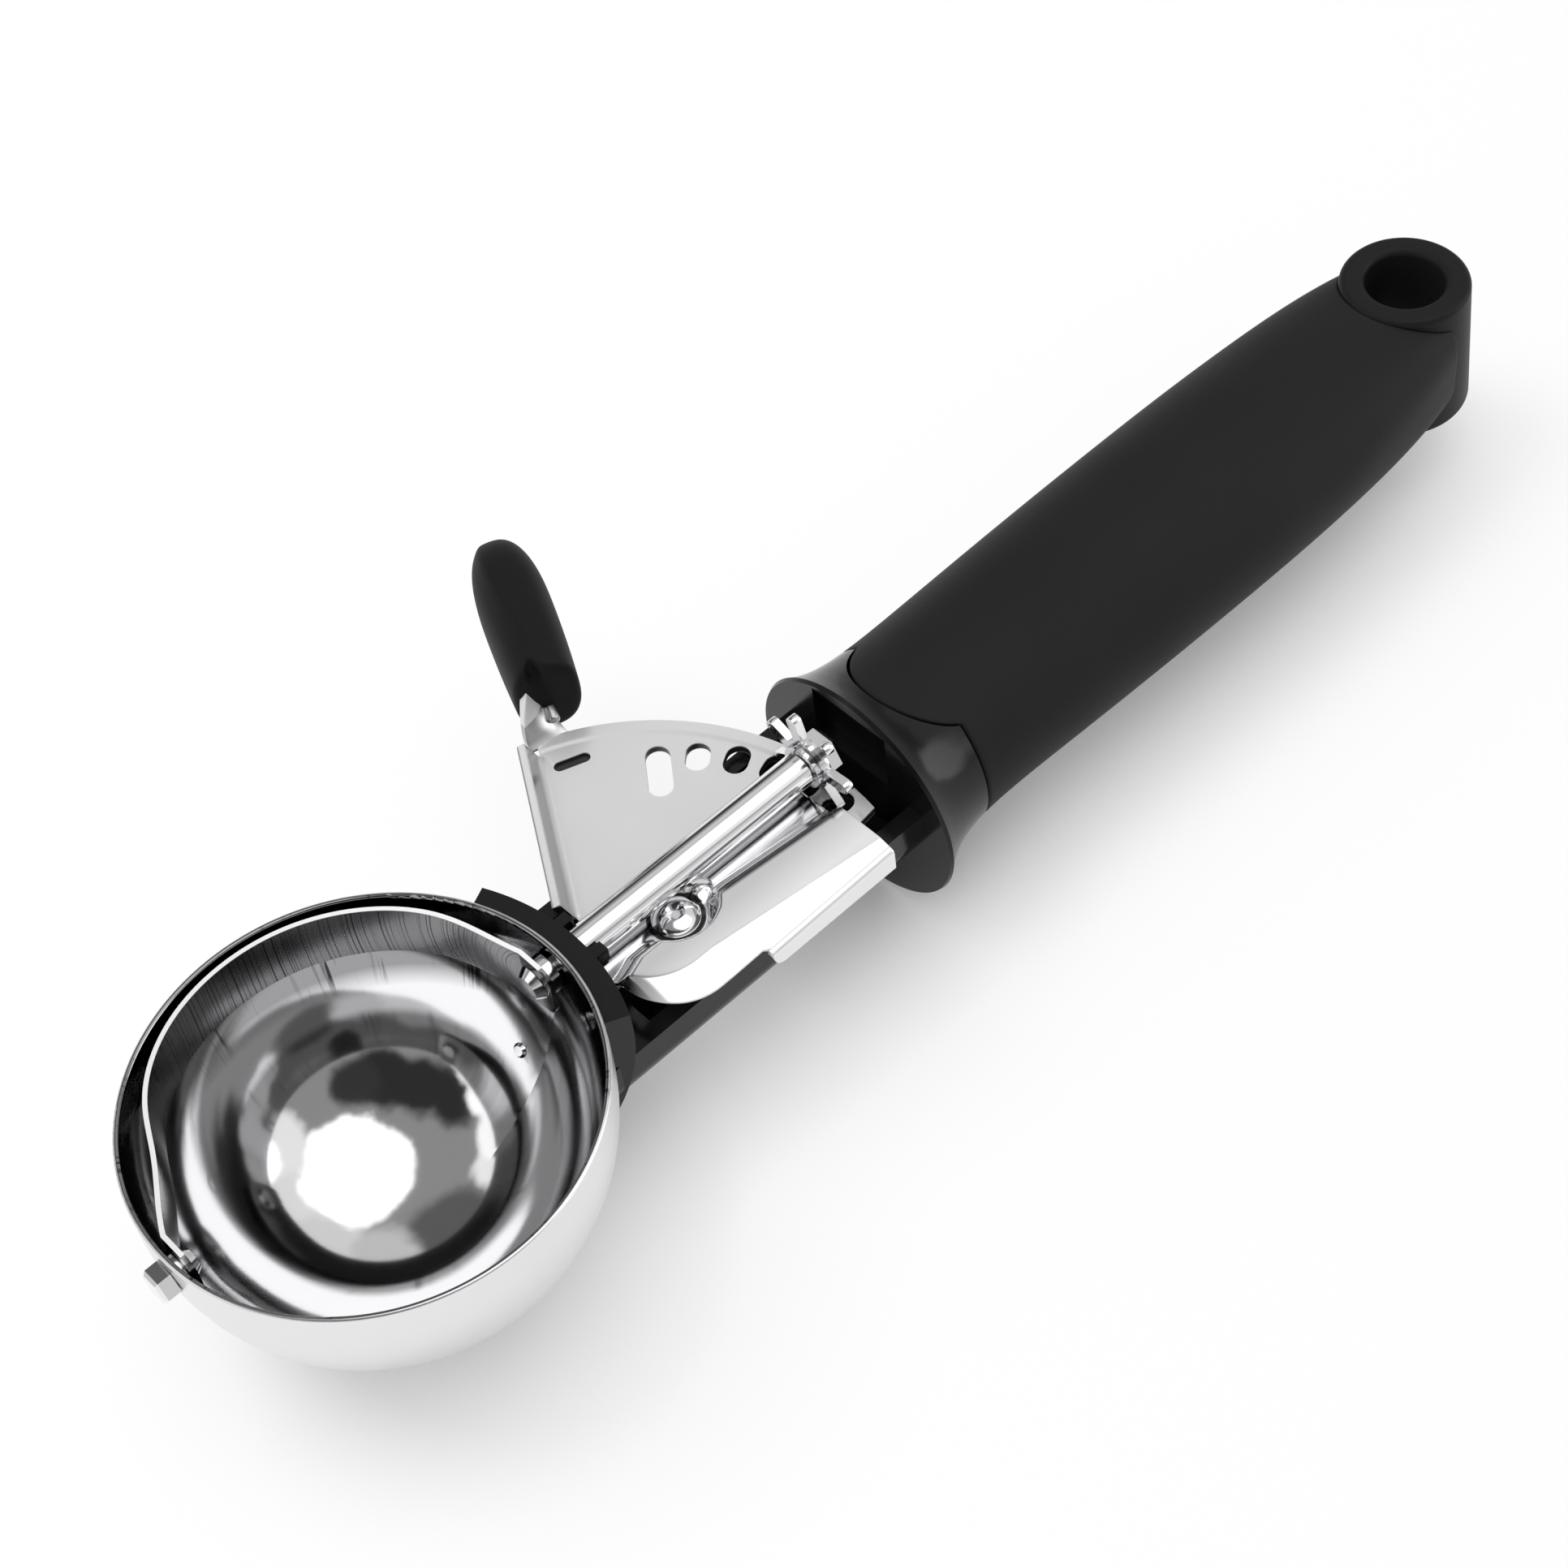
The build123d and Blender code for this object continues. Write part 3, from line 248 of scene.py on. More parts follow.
def round_edges(bm, verts, width):
    """Bevel the sharp edges among some points."""
    bm.normal_update()
    chosen = set(verts)
    sharp = [
        edge
        for edge in bm.edges
        if edge.verts[0] in chosen and edge.verts[1] in chosen and len(edge.link_faces) == 2
        and edge.calc_face_angle(0) > SHARP_FROM
    ]
    bmesh.ops.bevel(
        bm, geom=sharp, offset=width, offset_type="OFFSET", affect="EDGES", segments=BEVEL_STEPS,
        profile=0.5, material=-1, clamp_overlap=True,
    )


def thicken(bm, thick, facing):
    """Give an open sheet its thickness, on the side away from a direction that its face looks to."""
    bm.normal_update()
    normals = {vert.co.to_tuple(5): vert.normal.copy() for vert in bm.verts}
    looks = sum((face.normal for face in bm.faces), Vector()).dot(Vector(facing))
    depth = -thick if looks > 0 else thick
    made = bmesh.ops.extrude_face_region(bm, geom=bm.faces[:])
    for item in made["geom"]:
        if isinstance(item, bmesh.types.BMVert):
            item.co += normals[item.co.to_tuple(5)] * depth
    bmesh.ops.recalc_face_normals(bm, faces=bm.faces[:])


def merge_into(bm, other):
    """Add another closed form to a bmesh."""
    bmesh.ops.recalc_face_normals(other, faces=other.faces[:])
    mesh = bpy.data.meshes.new("part")
    other.to_mesh(mesh)
    other.free()
    bm.from_mesh(mesh)
    bpy.data.meshes.remove(mesh)


def finish_piece(bm, name, body, material, replaced, weighted=False):
    """Turn closed forms in millimetres into a piece that rides on a body."""
    bmesh.ops.recalc_face_normals(bm, faces=bm.faces[:])
    bmesh.ops.scale(bm, vec=(MM, MM, MM), verts=bm.verts[:])
    mesh = bpy.data.meshes.new(name)
    bm.to_mesh(mesh)
    bm.free()
    mesh.shade_smooth()
    mesh.set_sharp_from_angle(angle=CREASE)
    mesh.materials.append(material)
    piece = bpy.data.objects.new(name, mesh)
    bpy.context.scene.collection.objects.link(piece)
    if weighted:
        flat = piece.modifiers.new("flat faces", "WEIGHTED_NORMAL")
        flat.keep_sharp = True
    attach(piece, body)
    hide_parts(*replaced)


def paint(node, material):
    """Give a carried-over node its finish."""
    frame["nodes"][node].material_slots[0].material = material


# Shading helpers

MEASURES = ("LENGTH", "DISTANCE", "DOT_PRODUCT")


def add_node(tree, kind, inputs, **options):
    """Add a shader node whose inputs are each fed from a socket or set to a value."""
    node = tree.nodes.new("ShaderNode" + kind)
    for option, value in options.items():
        setattr(node, option, value)
    for label, value in inputs.items():
        if isinstance(value, bpy.types.NodeSocket):
            tree.links.new(value, node.inputs[label])
        else:
            node.inputs[label].default_value = value
    return node


def number(tree, operation, *values):
    """Result of a sum on numbers or sockets."""
    return add_node(tree, "Math", dict(enumerate(values)), operation=operation).outputs["Value"]


def product(tree, first, second):
    """Two values multiplied."""
    return number(tree, "MULTIPLY", first, second)


def vector_sum(tree, operation, *vectors):
    """Result of a sum on vectors: a number for a measure, or else a vector."""
    node = add_node(tree, "VectorMath", dict(enumerate(vectors)), operation=operation)
    return node.outputs["Value" if operation in MEASURES else "Vector"]


def axes(tree, vector):
    """A vector's X, Y and Z."""
    return add_node(tree, "SeparateXYZ", {"Vector": vector}).outputs


def joined(tree, x, y, z):
    """Vector from three numbers or sockets."""
    return add_node(tree, "CombineXYZ", {"X": x, "Y": y, "Z": z}).outputs["Vector"]


def ramp(tree, value, start, end, low=0.0, high=1.0, kind="LINEAR"):
    """Carry a value from one span to another, held at the ends."""
    spans = {"Value": value, "From Min": start, "From Max": end, "To Min": low, "To Max": high}
    return add_node(tree, "MapRange", spans, interpolation_type=kind).outputs["Result"]


def blend(tree, share, first, second):
    """Colour between two colours."""
    inputs = {"Factor": share, "A": first, "B": second}
    return add_node(tree, "Mix", inputs, data_type="RGBA").outputs["Result"]


def noise_at(tree, vector, scale, detail):
    """Soft noise over a surface."""
    return add_node(tree, "TexNoise", {"Vector": vector, "Scale": scale, "Detail": detail}).outputs["Fac"]


def toned(colour, share):
    """A colour made darker or lighter."""
    return [min(1.0, channel * share) for channel in colour[:3]] + [1.0]


def from_upright(tree, vector, x, y):
    """Distance from the upright line at a place in millimetres."""
    flat = vector_sum(tree, "MULTIPLY", vector, (1.0, 1.0, 0.0))
    return vector_sum(tree, "DISTANCE", flat, (x * MM, y * MM, 0.0))


# Shared effects

FLOAT_SOCKET = "NodeSocketFloat"
VECTOR_SOCKET = "NodeSocketVector"


def shared_group(name, inputs, output, fill):
    """Shader group that is built once. fill(group, entry) gives the socket that it puts out."""
    if name in bpy.data.node_groups:
        return bpy.data.node_groups[name]
    group = bpy.data.node_groups.new(name, "ShaderNodeTree")
    for label, kind in inputs.items():
        group.interface.new_socket(name=label, in_out="INPUT", socket_type=kind)
    group.interface.new_socket(name=output, in_out="OUTPUT", socket_type=FLOAT_SOCKET)
    entry = group.nodes.new("NodeGroupInput")
    leave = group.nodes.new("NodeGroupOutput")
    group.links.new(fill(group, entry.outputs), leave.inputs[output])
    return group


def handled_gloss():
    """Roughness that changes in soft patches, as on a thing that is handled and wiped."""

    def fill(group, entry):
        patches = noise_at(group, entry["Vector"], entry["Scale"], 1.0)
        return ramp(group, patches, 0.0, 1.0, entry["Low"], entry["High"])

    inputs = {"Vector": VECTOR_SOCKET, "Scale": FLOAT_SOCKET, "Low": FLOAT_SOCKET, "High": FLOAT_SOCKET}
    return shared_group("Handled Gloss", inputs, "Roughness", fill)


def drawn_grain():
    """Fine streaks along one direction, as rolling and drawing leave on steel."""

    def fill(group, entry):
        stretched = vector_sum(group, "MULTIPLY", entry["Vector"], entry["Stretch"])
        return noise_at(group, stretched, 1.0, 3.0)

    return shared_group("Drawn Grain", {"Vector": VECTOR_SOCKET, "Stretch": VECTOR_SOCKET}, "Height", fill)


def pebbled_skin():
    """Small rounded grains of a moulded soft surface."""

    def fill(group, entry):
        inputs = {"Vector": entry["Vector"], "Scale": entry["Scale"], "Smoothness": 0.6}
        return add_node(group, "TexVoronoi", inputs, feature="SMOOTH_F1").outputs["Distance"]

    return shared_group("Pebbled Skin", {"Vector": VECTOR_SOCKET, "Scale": FLOAT_SOCKET}, "Height", fill)


def effect(tree, group, vector, **values):
    """What a shared effect puts out in a material with its own values."""
    return add_node(tree, "Group", {"Vector": vector, **values}, node_tree=group).outputs[0]


# Finishes

# Painted dark reflection in a belt under the bowl's rim: the share of the colour kept, and where it fades in, in
# mm from the bowl's centre
BELT_SHADE = 0.36
BELT_FOOT = -11.0
BELT_HEAD = -8.0
# Painted dark reflection on the blade's face: the share of its colour that is kept
BLADE_SHADE = 0.28
LINE_SHADE = 0.3
# Dark of the fine streaks, and of the painted shadow round the cover plate's rivet
STREAK_AND_SHADOW_DARK = (0.04, 0.04, 0.042, 1.0)
# Painted highlight: white for the blade's top edge, and a lower metal share for that edge and for the sector
# flange's edge
PAINTED_EDGE_HIGHLIGHT = (0.95, 0.95, 0.95, 1.0)
HIGHLIGHT_EDGE_METAL = 0.25
GRAIN_DEPTH = 0.02 * MM
BRIGHT_GLOSS = (0.06, 0.14)
TUBE_GLOSS = (0.10, 0.16)
BRIGHT_GRAIN = (300.0, 9000.0, 9000.0)
BRIGHT_GRAIN_STRENGTH = 0.10


def start_material(name, colour):
    """New material, its tree and shader, and Object coordinates."""
    material = bpy.data.materials.new(name)
    material.use_nodes = True
    tree = material.node_tree
    shader = tree.nodes["Principled BSDF"]
    shader.inputs["Base Color"].default_value = colour
    return material, tree, shader, add_node(tree, "TexCoord", {}).outputs["Object"]


def opened(material):
    """Tree, shader and Object coordinates of a material that is taken further."""
    tree = material.node_tree
    return tree, tree.nodes["Principled BSDF"], tree.nodes["Texture Coordinate"].outputs["Object"]


def shade_variation(tree, vector, shader, colour, scale, amount):
    """Let the base colour drift a little over the surface."""
    drift = noise_at(tree, vector, scale, 4.0)
    tone = blend(tree, drift, toned(colour, 1 - amount), toned(colour, 1 + amount))
    tree.links.new(tone, shader.inputs["Base Color"])


def add_bump(tree, height, strength, distance):
    """Normal of a surface with a height."""
    inputs = {"Strength": strength, "Distance": distance, "Height": height}
    return add_node(tree, "Bump", inputs).outputs["Normal"]


def steel(name, colour, gloss, grain_stretch, grain_strength):
    """Metal with wiped patches and a drawn grain."""
    material, tree, shader, vector = start_material(name, colour)
    shader.inputs["Metallic"].default_value = 1.0
    shade_variation(tree, vector, shader, colour, 90.0, 0.03)
    patches = effect(tree, handled_gloss(), vector, Scale=120.0, Low=gloss[0], High=gloss[1])
    grain = effect(tree, drawn_grain(), vector, Stretch=grain_stretch)
    tree.links.new(patches, shader.inputs["Roughness"])
    tree.links.new(add_bump(tree, grain, grain_strength, GRAIN_DEPTH), shader.inputs["Normal"])
    return material


def black_skin(name, colour, gloss, shine, pebble_scale, pebble_strength, pebble_depth):
    """Dark moulded surface with patches of gloss and a grain."""
    material, tree, shader, vector = start_material(name, colour)
    shader.inputs["Specular IOR Level"].default_value = shine
    shade_variation(tree, vector, shader, colour, 60.0, 0.10)
    patches = effect(tree, handled_gloss(), vector, Scale=70.0, Low=gloss[0], High=gloss[1])
    skin = effect(tree, pebbled_skin(), vector, Scale=pebble_scale)
    tree.links.new(patches, shader.inputs["Roughness"])
    tree.links.new(add_bump(tree, skin, pebble_strength, pebble_depth), shader.inputs["Normal"])
    return material


def blade_steel(colour):
    """Rolled strip whose face is darkened as a painted dark reflection, with fine dark lines across it and a
    painted highlight along its top edge.
    """
    material = steel(
        "blade_steel", colour, gloss=(0.10, 0.18), grain_stretch=(500.0, 500.0, 9000.0), grain_strength=0.10
    )
    tree, shader, vector = opened(material)
    place = axes(tree, vector_sum(tree, "SUBTRACT", vector, BOWL_CENTRE * MM))
    from_shaft = vector_sum(tree, "LENGTH", joined(tree, 0.0, place["Y"], place["Z"]))
    turn = number(tree, "ARCTAN2", place["X"], from_shaft)
    streaks = effect(tree, drawn_grain(), joined(tree, turn, 0.0, 0.0), Stretch=(95.0, 1.0, 1.0))
    # The face is darkened as a painted dark reflection; the streaks on it are darker still
    face = blend(tree, ramp(tree, streaks, 0.54, 0.59), toned(colour, BLADE_SHADE), STREAK_AND_SHADOW_DARK)
    # Painted highlight: the blade's top edge is made white and less metallic
    highlight_band = 0.05
    highlight_edge = number(tree, "GREATER_THAN", place["Z"], (BLADE_TOP - BOWL_CENTRE.z - highlight_band) * MM)
    tree.links.new(ramp(tree, highlight_edge, 0.0, 1.0, 1.0, HIGHLIGHT_EDGE_METAL), shader.inputs["Metallic"])
    tree.links.new(blend(tree, highlight_edge, face, PAINTED_EDGE_HIGHLIGHT), shader.inputs["Base Color"])
    return material


def bowl_steel(colour):
    """Polished inside with a painted dark reflection in a belt and fine streaks under the rim, satin outside."""
    material, tree, shader, vector = start_material("bowl_steel", colour)
    shader.inputs["Metallic"].default_value = 1.0
    place = axes(tree, vector_sum(tree, "SUBTRACT", vector, BOWL_CENTRE * MM))
    below = number(tree, "MINIMUM", place["Z"], 0.0)
    reach = vector_sum(tree, "LENGTH", joined(tree, place["X"], place["Y"], below))
    outside = ramp(tree, reach, (BOWL_R - BOWL_WALL * 0.55) * MM, (BOWL_R - BOWL_WALL * 0.35) * MM)
    inside = number(tree, "SUBTRACT", 1.0, outside)
    on_wall = joined(tree, number(tree, "ARCTAN2", place["Y"], place["X"]), place["Z"], 0.0)
    streaks = effect(tree, drawn_grain(), on_wall, Stretch=(46.0, 60.0, 1.0))
    where = ramp(tree, noise_at(tree, on_wall, 3.2, 2.0), 0.46, 0.60)
    # Painted dark reflection: the inside darkens in a belt under the rim, and the streaks show only there
    dark_reflection_belt = product(tree, ramp(tree, place["Z"], BELT_FOOT * MM, BELT_HEAD * MM), inside)
    lines = product(tree, product(tree, ramp(tree, streaks, 0.56, 0.63), where), dark_reflection_belt)
    belt_darkened = blend(tree, dark_reflection_belt, colour, toned(colour, BELT_SHADE))
    tree.links.new(blend(tree, lines, belt_darkened, STREAK_AND_SHADOW_DARK), shader.inputs["Base Color"])
    polished = effect(tree, handled_gloss(), vector, Scale=60.0, Low=0.05, High=0.10)
    satin = effect(tree, handled_gloss(), vector, Scale=90.0, Low=0.26, High=0.34)
    gloss = add_node(tree, "Mix", {"Factor": outside, "A": polished, "B": satin})
    tree.links.new(gloss.outputs["Result"], shader.inputs["Roughness"])
    tree.links.new(add_bump(tree, streaks, 0.05, GRAIN_DEPTH), shader.inputs["Normal"])
    return material


FLOOR_WHITE_SHARE = 0.76
FLOOR_SHADE_REACH = 0.022
FLOOR_DARKEST = 0.12
FLOOR_FADE_START = 0.35
FLOOR_FADE_END = 0.8


def floor_white(colour):
    """Plain white floor that keeps the object's shadow."""
    material, tree, shader, vector = start_material("floor_white", colour)
    shader.inputs["Roughness"].default_value = 1.0
    shader.inputs["Specular IOR Level"].default_value = 0.0
    shade_variation(tree, vector, shader, colour, 4.0, 0.003)
    nearby = add_node(tree, "AmbientOcclusion", {"Distance": FLOOR_SHADE_REACH}, samples=8).outputs["AO"]
    open_sky = ramp(tree, nearby, FLOOR_DARKEST, 1.0, 0.0, FLOOR_WHITE_SHARE)
    far_off = ramp(tree, vector_sum(tree, "LENGTH", vector), FLOOR_FADE_START, FLOOR_FADE_END)
    rays = add_node(tree, "LightPath", {}).outputs
    seen = number(tree, "MAXIMUM", rays["Is Camera Ray"], rays["Is Glossy Ray"])
    share = product(tree, seen, number(tree, "MAXIMUM", open_sky, far_off))
    glow = add_node(tree, "Emission", {}).outputs["Emission"]
    mix = add_node(tree, "MixShader", {0: share, 1: shader.outputs["BSDF"], 2: glow})
    tree.links.new(mix.outputs["Shader"], tree.nodes["Material Output"].inputs["Surface"])
    return material


def bright_steel():
    """The plated finish that the small steel pieces share."""
    name = "bright_steel"
    if name in bpy.data.materials:
        return bpy.data.materials[name]
    colour = bpy.context.scene.scoop_colours.bright
    return steel(name, colour, BRIGHT_GLOSS, BRIGHT_GRAIN, BRIGHT_GRAIN_STRENGTH)


# Painted shade along the ridge: its colour and the band's half widths in mm
RIDGE_PAINTED_SHADE = (0.10, 0.10, 0.102, 1.0)
RIDGE_BAND_CORE = 0.3
RIDGE_BAND_RIM = 1.0
# Painted shadow round the rivet's head: how far it reaches past the head and how soft its edge is, in mm
RIVET_SHADOW_RING = 0.45
RIVET_SHADOW_FADE = 0.2
FOLD_METAL = 0.5


def plate_steel():
    """Bright plate with a painted shadow round the rivet's head, a painted shade band along its ridge and a duller
    fold.
    """
    colour = bpy.context.scene.scoop_colours.bright
    material = steel("plate_steel", colour, BRIGHT_GLOSS, BRIGHT_GRAIN, BRIGHT_GRAIN_STRENGTH)
    tree, shader, vector = opened(material)
    plain = shader.inputs["Base Color"].links[0].from_socket
    place = axes(tree, vector)
    # Painted shade: a dark band along the ridge's slope, past the rivet's dish
    slope = number(tree, "MULTIPLY_ADD", place["X"], RIDGE_SLANT, place["Y"])
    band_middle = (RIDGE_BAND_Y + RIDGE_SLANT * (BOWL_CENTRE.x + RIDGE_BEND_X)) * MM
    off_band = number(tree, "ABSOLUTE", number(tree, "SUBTRACT", slope, band_middle))
    banded = ramp(tree, off_band, RIDGE_BAND_RIM * MM, RIDGE_BAND_CORE * MM, kind="SMOOTHSTEP")
    past_dish = ramp(tree, place["X"], (PIVOT.x + DISH_R) * MM, (PIVOT.x + DISH_R + 2.0) * MM)
    ridged = blend(tree, product(tree, banded, past_dish), plain, RIDGE_PAINTED_SHADE)
    # Painted shadow: a dark ring round the rivet's head
    from_rivet = from_upright(tree, vector, PIVOT.x, PIVOT.y)
    shadow_edge = RIVET_HEAD_R + RIVET_SHADOW_RING
    unshadowed = ramp(tree, from_rivet, shadow_edge * MM, (shadow_edge + RIVET_SHADOW_FADE) * MM)
    tree.links.new(blend(tree, unshadowed, STREAK_AND_SHADOW_DARK, ridged), shader.inputs["Base Color"])
    fold = ramp(tree, place["Y"], (RIDGE_BAND_Y - 2.0) * MM, (plate_low.y + 4.0) * MM, 1.0, FOLD_METAL)
    tree.links.new(fold, shader.inputs["Metallic"])
    return material


def tube_steel():
    """Bright drawn tube with thin dark lines along it."""
    colour = bpy.context.scene.scoop_colours.bright
    material = steel("tube_steel", colour, TUBE_GLOSS, BRIGHT_GRAIN, BRIGHT_GRAIN_STRENGTH)
    tree, shader, vector = opened(material)
    grain = effect(tree, drawn_grain(), vector, Stretch=(14.0, 1500.0, 1500.0))
    tone = blend(tree, ramp(tree, grain, 0.60, 0.66), colour, toned(colour, LINE_SHADE))
    tree.links.new(tone, shader.inputs["Base Color"])
    return material


# Thumb pad, measured from the lever's pivot

PAD_ANGLE = radians(65.0)
PAD_START = Vector((11.5, 36.3, 0.0))
PAD_LENGTH = 28.0
PAD_HALF_THICK = 4.9
PAD_SHIFT = 0.4
PAD_HALF_HEIGHT = 6.75
PAD_FULLEST = 0.52
PAD_BASE_SHARE = 0.9
PAD_POWER = 2.5
PAD_TIP_POWER = 2.2
PAD_SPACING = 1.7
PAD_END_ROUND = 0.9
PAD_END_FLAT = 0.8
CREST_RISE = 0.05
CREST_SPREAD = 0.2
CREST_START = radians(94)
CREST_SWING = radians(34)
PAD_BOTTOM = 2.0
NOTCH_SIDE = 1.4
NOTCH_WIDTH = 1.1
NOTCH_RISE = 5.0
PAD_ALONG = Vector((cos(PAD_ANGLE), sin(PAD_ANGLE), 0.0))
PAD_ACROSS = Vector((-sin(PAD_ANGLE), cos(PAD_ANGLE), 0.0))
PAD_ORIGIN = Vector((PIVOT.x, PIVOT.y, PAD_BOTTOM + PAD_HALF_HEIGHT)) + PAD_START + PAD_ACROSS * PAD_SHIFT


def pad_fullness(share):
    """Size of the pad's section along its length, as a share of its fullest."""
    if share > PAD_FULLEST:
        return max(0.0, 1 - ((share - PAD_FULLEST) / (1 - PAD_FULLEST)) ** PAD_POWER) ** (1 / PAD_TIP_POWER)
    return 1 - (1 - PAD_BASE_SHARE) * ((PAD_FULLEST - share) / PAD_FULLEST) ** 2


class SCOOP_OT_thumb_pad(bpy.types.Operator):
    """Model the soft thumb pad with its crest, its notch and its tip"""

    bl_idname = "scoop.thumb_pad"
    bl_label = "Thumb Pad"

    def execute(self, context):
        sizes = context.scene.scoop_sizes
        colours = context.scene.scoop_colours
        notch = sizes.notch_depth * PER_METRE
        side_rows = 60
        rows = [("end", PAD_END_FLAT * step / 4, 0.0) for step in range(4)]
        for turn in quarter_turn(6):
            wide = PAD_END_FLAT + (1 - PAD_END_FLAT) * sin(turn)
            rows.append(("end", wide, PAD_END_ROUND * (1 - cos(turn))))
        for step in range(1, side_rows + 1):
            rows.append(("side", 1.0, 1 - (1 - step / side_rows) ** PAD_SPACING))

        def place(turn, share):
            angle = 2 * pi * turn
            kind, spread, offset = rows[round(share * (len(rows) - 1))]
            progress = offset if kind == "side" else 0.0
            crest_angle = CREST_START + CREST_SWING * progress
            crest = 1 + CREST_RISE * exp(-(((angle - crest_angle) / CREST_SPREAD) ** 2))
            round_share = abs(cos(angle)) ** PAD_POWER + abs(sin(angle)) ** PAD_POWER
            reach = crest * spread * round_share ** (-1 / PAD_POWER)
            across = PAD_HALF_THICK * cos(angle) * reach
            up = PAD_HALF_HEIGHT * sin(angle) * reach
            dent = exp(-(((across + NOTCH_SIDE) / NOTCH_WIDTH) ** 2))
            start = notch * dent * smooth_step(0.0, NOTCH_RISE, up)
            along = start + offset
            if kind == "side":
                along = start + PAD_END_ROUND + (PAD_LENGTH - start - PAD_END_ROUND) * offset
            full = pad_fullness(along / PAD_LENGTH)
            return PAD_ORIGIN + PAD_ALONG * along - PAD_ACROSS * (across * full) + Vector((0, 0, up * full))

        bm = bmesh.new()
        mapped_grid(bm, 96, len(rows) - 1, place)
        bmesh.ops.remove_doubles(bm, verts=bm.verts[:], dist=MERGE)
        material = black_skin(
            "pad_rubber", colours.pad_black, gloss=(0.52, 0.62), shine=0.12,
            pebble_scale=2600.0, pebble_strength=0.10, pebble_depth=0.02 * MM,
        )
        finish_piece(bm, "pad_cover", "lever", material, ("thumb_pad",))
        return {"FINISHED"}


# Grip, measured from the bowl's centre along X

GUARD_FRONT = 78.0
GRIP_MIDDLE = 143.0
GRIP_FRONT_SPAN = 57.0
GRIP_REAR_SPAN = 49.0
GRIP_HALF_WIDTH = 15.2
GRIP_HALF_HEIGHT = 12.6
FRONT_WIDTH_LOSS = 1.4
FRONT_HEIGHT_LOSS = 0.5
REAR_WIDTH_LOSS = 6.0
REAR_HEIGHT_LOSS = 4.6
REAR_POWER = 2.4
REAR_SQUARE = 2.4
GUARD_DROP = 2.0
GUARD_REACH = 4.6
GUARD_HALF_WIDTH = 17.6
GUARD_HALF_HEIGHT = 17.2
TONGUE_TIP = 82.0
TONGUE_CUSP = 88.5
TONGUE_HALF_WIDTH = 9.5
TONGUE_SLANT = 1.5
CUT_HALF_WIDTH = 25.6
EYE_TOP_R = 9.2
EYE_FOOT_R = eye_high.x
EYE_SEAT = 0.05
SETTLING_ROUNDS = 8


def swell(x, middle, front_loss, rear_loss):
    """Half size of the handle at x."""
    if x < GRIP_MIDDLE:
        return middle - front_loss * ((GRIP_MIDDLE - x) / GRIP_FRONT_SPAN) ** 2
    return middle - rear_loss * ((x - GRIP_MIDDLE) / GRIP_REAR_SPAN) ** REAR_POWER


def half_width(x):
    """Half width of the handle at x, without the guard's flare."""
    return swell(x, GRIP_HALF_WIDTH, FRONT_WIDTH_LOSS, REAR_WIDTH_LOSS)


def half_height(x):
    """Half height of the handle at x, without the guard's flare."""
    return swell(x, GRIP_HALF_HEIGHT, FRONT_HEIGHT_LOSS, REAR_HEIGHT_LOSS)


def handle_point(x, angle, inset):
    """Point on the handle's surface at x, in a direction round its middle line."""
    flare = exp((GUARD_FRONT - x) / GUARD_REACH)
    wide = half_width(x) + (GUARD_HALF_WIDTH - half_width(GUARD_FRONT)) * flare - inset
    tall = half_height(x) + (GUARD_HALF_HEIGHT - half_height(GUARD_FRONT)) * flare - inset
    power = 2 + REAR_SQUARE * (max(0.0, x - GRIP_MIDDLE) / GRIP_REAR_SPAN) ** 3
    reach = (abs(cos(angle) / wide) ** power + abs(sin(angle) / tall) ** power) ** (-1 / power)
    return Vector((BOWL_CENTRE.x + x, reach * cos(angle), reach * sin(angle) - GUARD_DROP * flare))


tongue_rise = TONGUE_CUSP - TONGUE_TIP
TONGUE_R = (TONGUE_HALF_WIDTH**2 + tongue_rise**2) / (2 * tongue_rise)


def seam_x(y):
    """Where the grip's front edge lies for a distance from the middle line."""
    reach = abs(y)
    if reach < TONGUE_HALF_WIDTH:
        return TONGUE_TIP + TONGUE_R - sqrt(TONGUE_R**2 - reach**2)
    return TONGUE_CUSP - TONGUE_SLANT * (reach - TONGUE_HALF_WIDTH) / (CUT_HALF_WIDTH - TONGUE_HALF_WIDTH)


def eye_radius(z):
    """Radius of the hang eye's tapered wall at a height."""
    return EYE_TOP_R + (EYE_FOOT_R - EYE_TOP_R) * (eye_high.z - z) / (eye_high.z - eye_low.z)


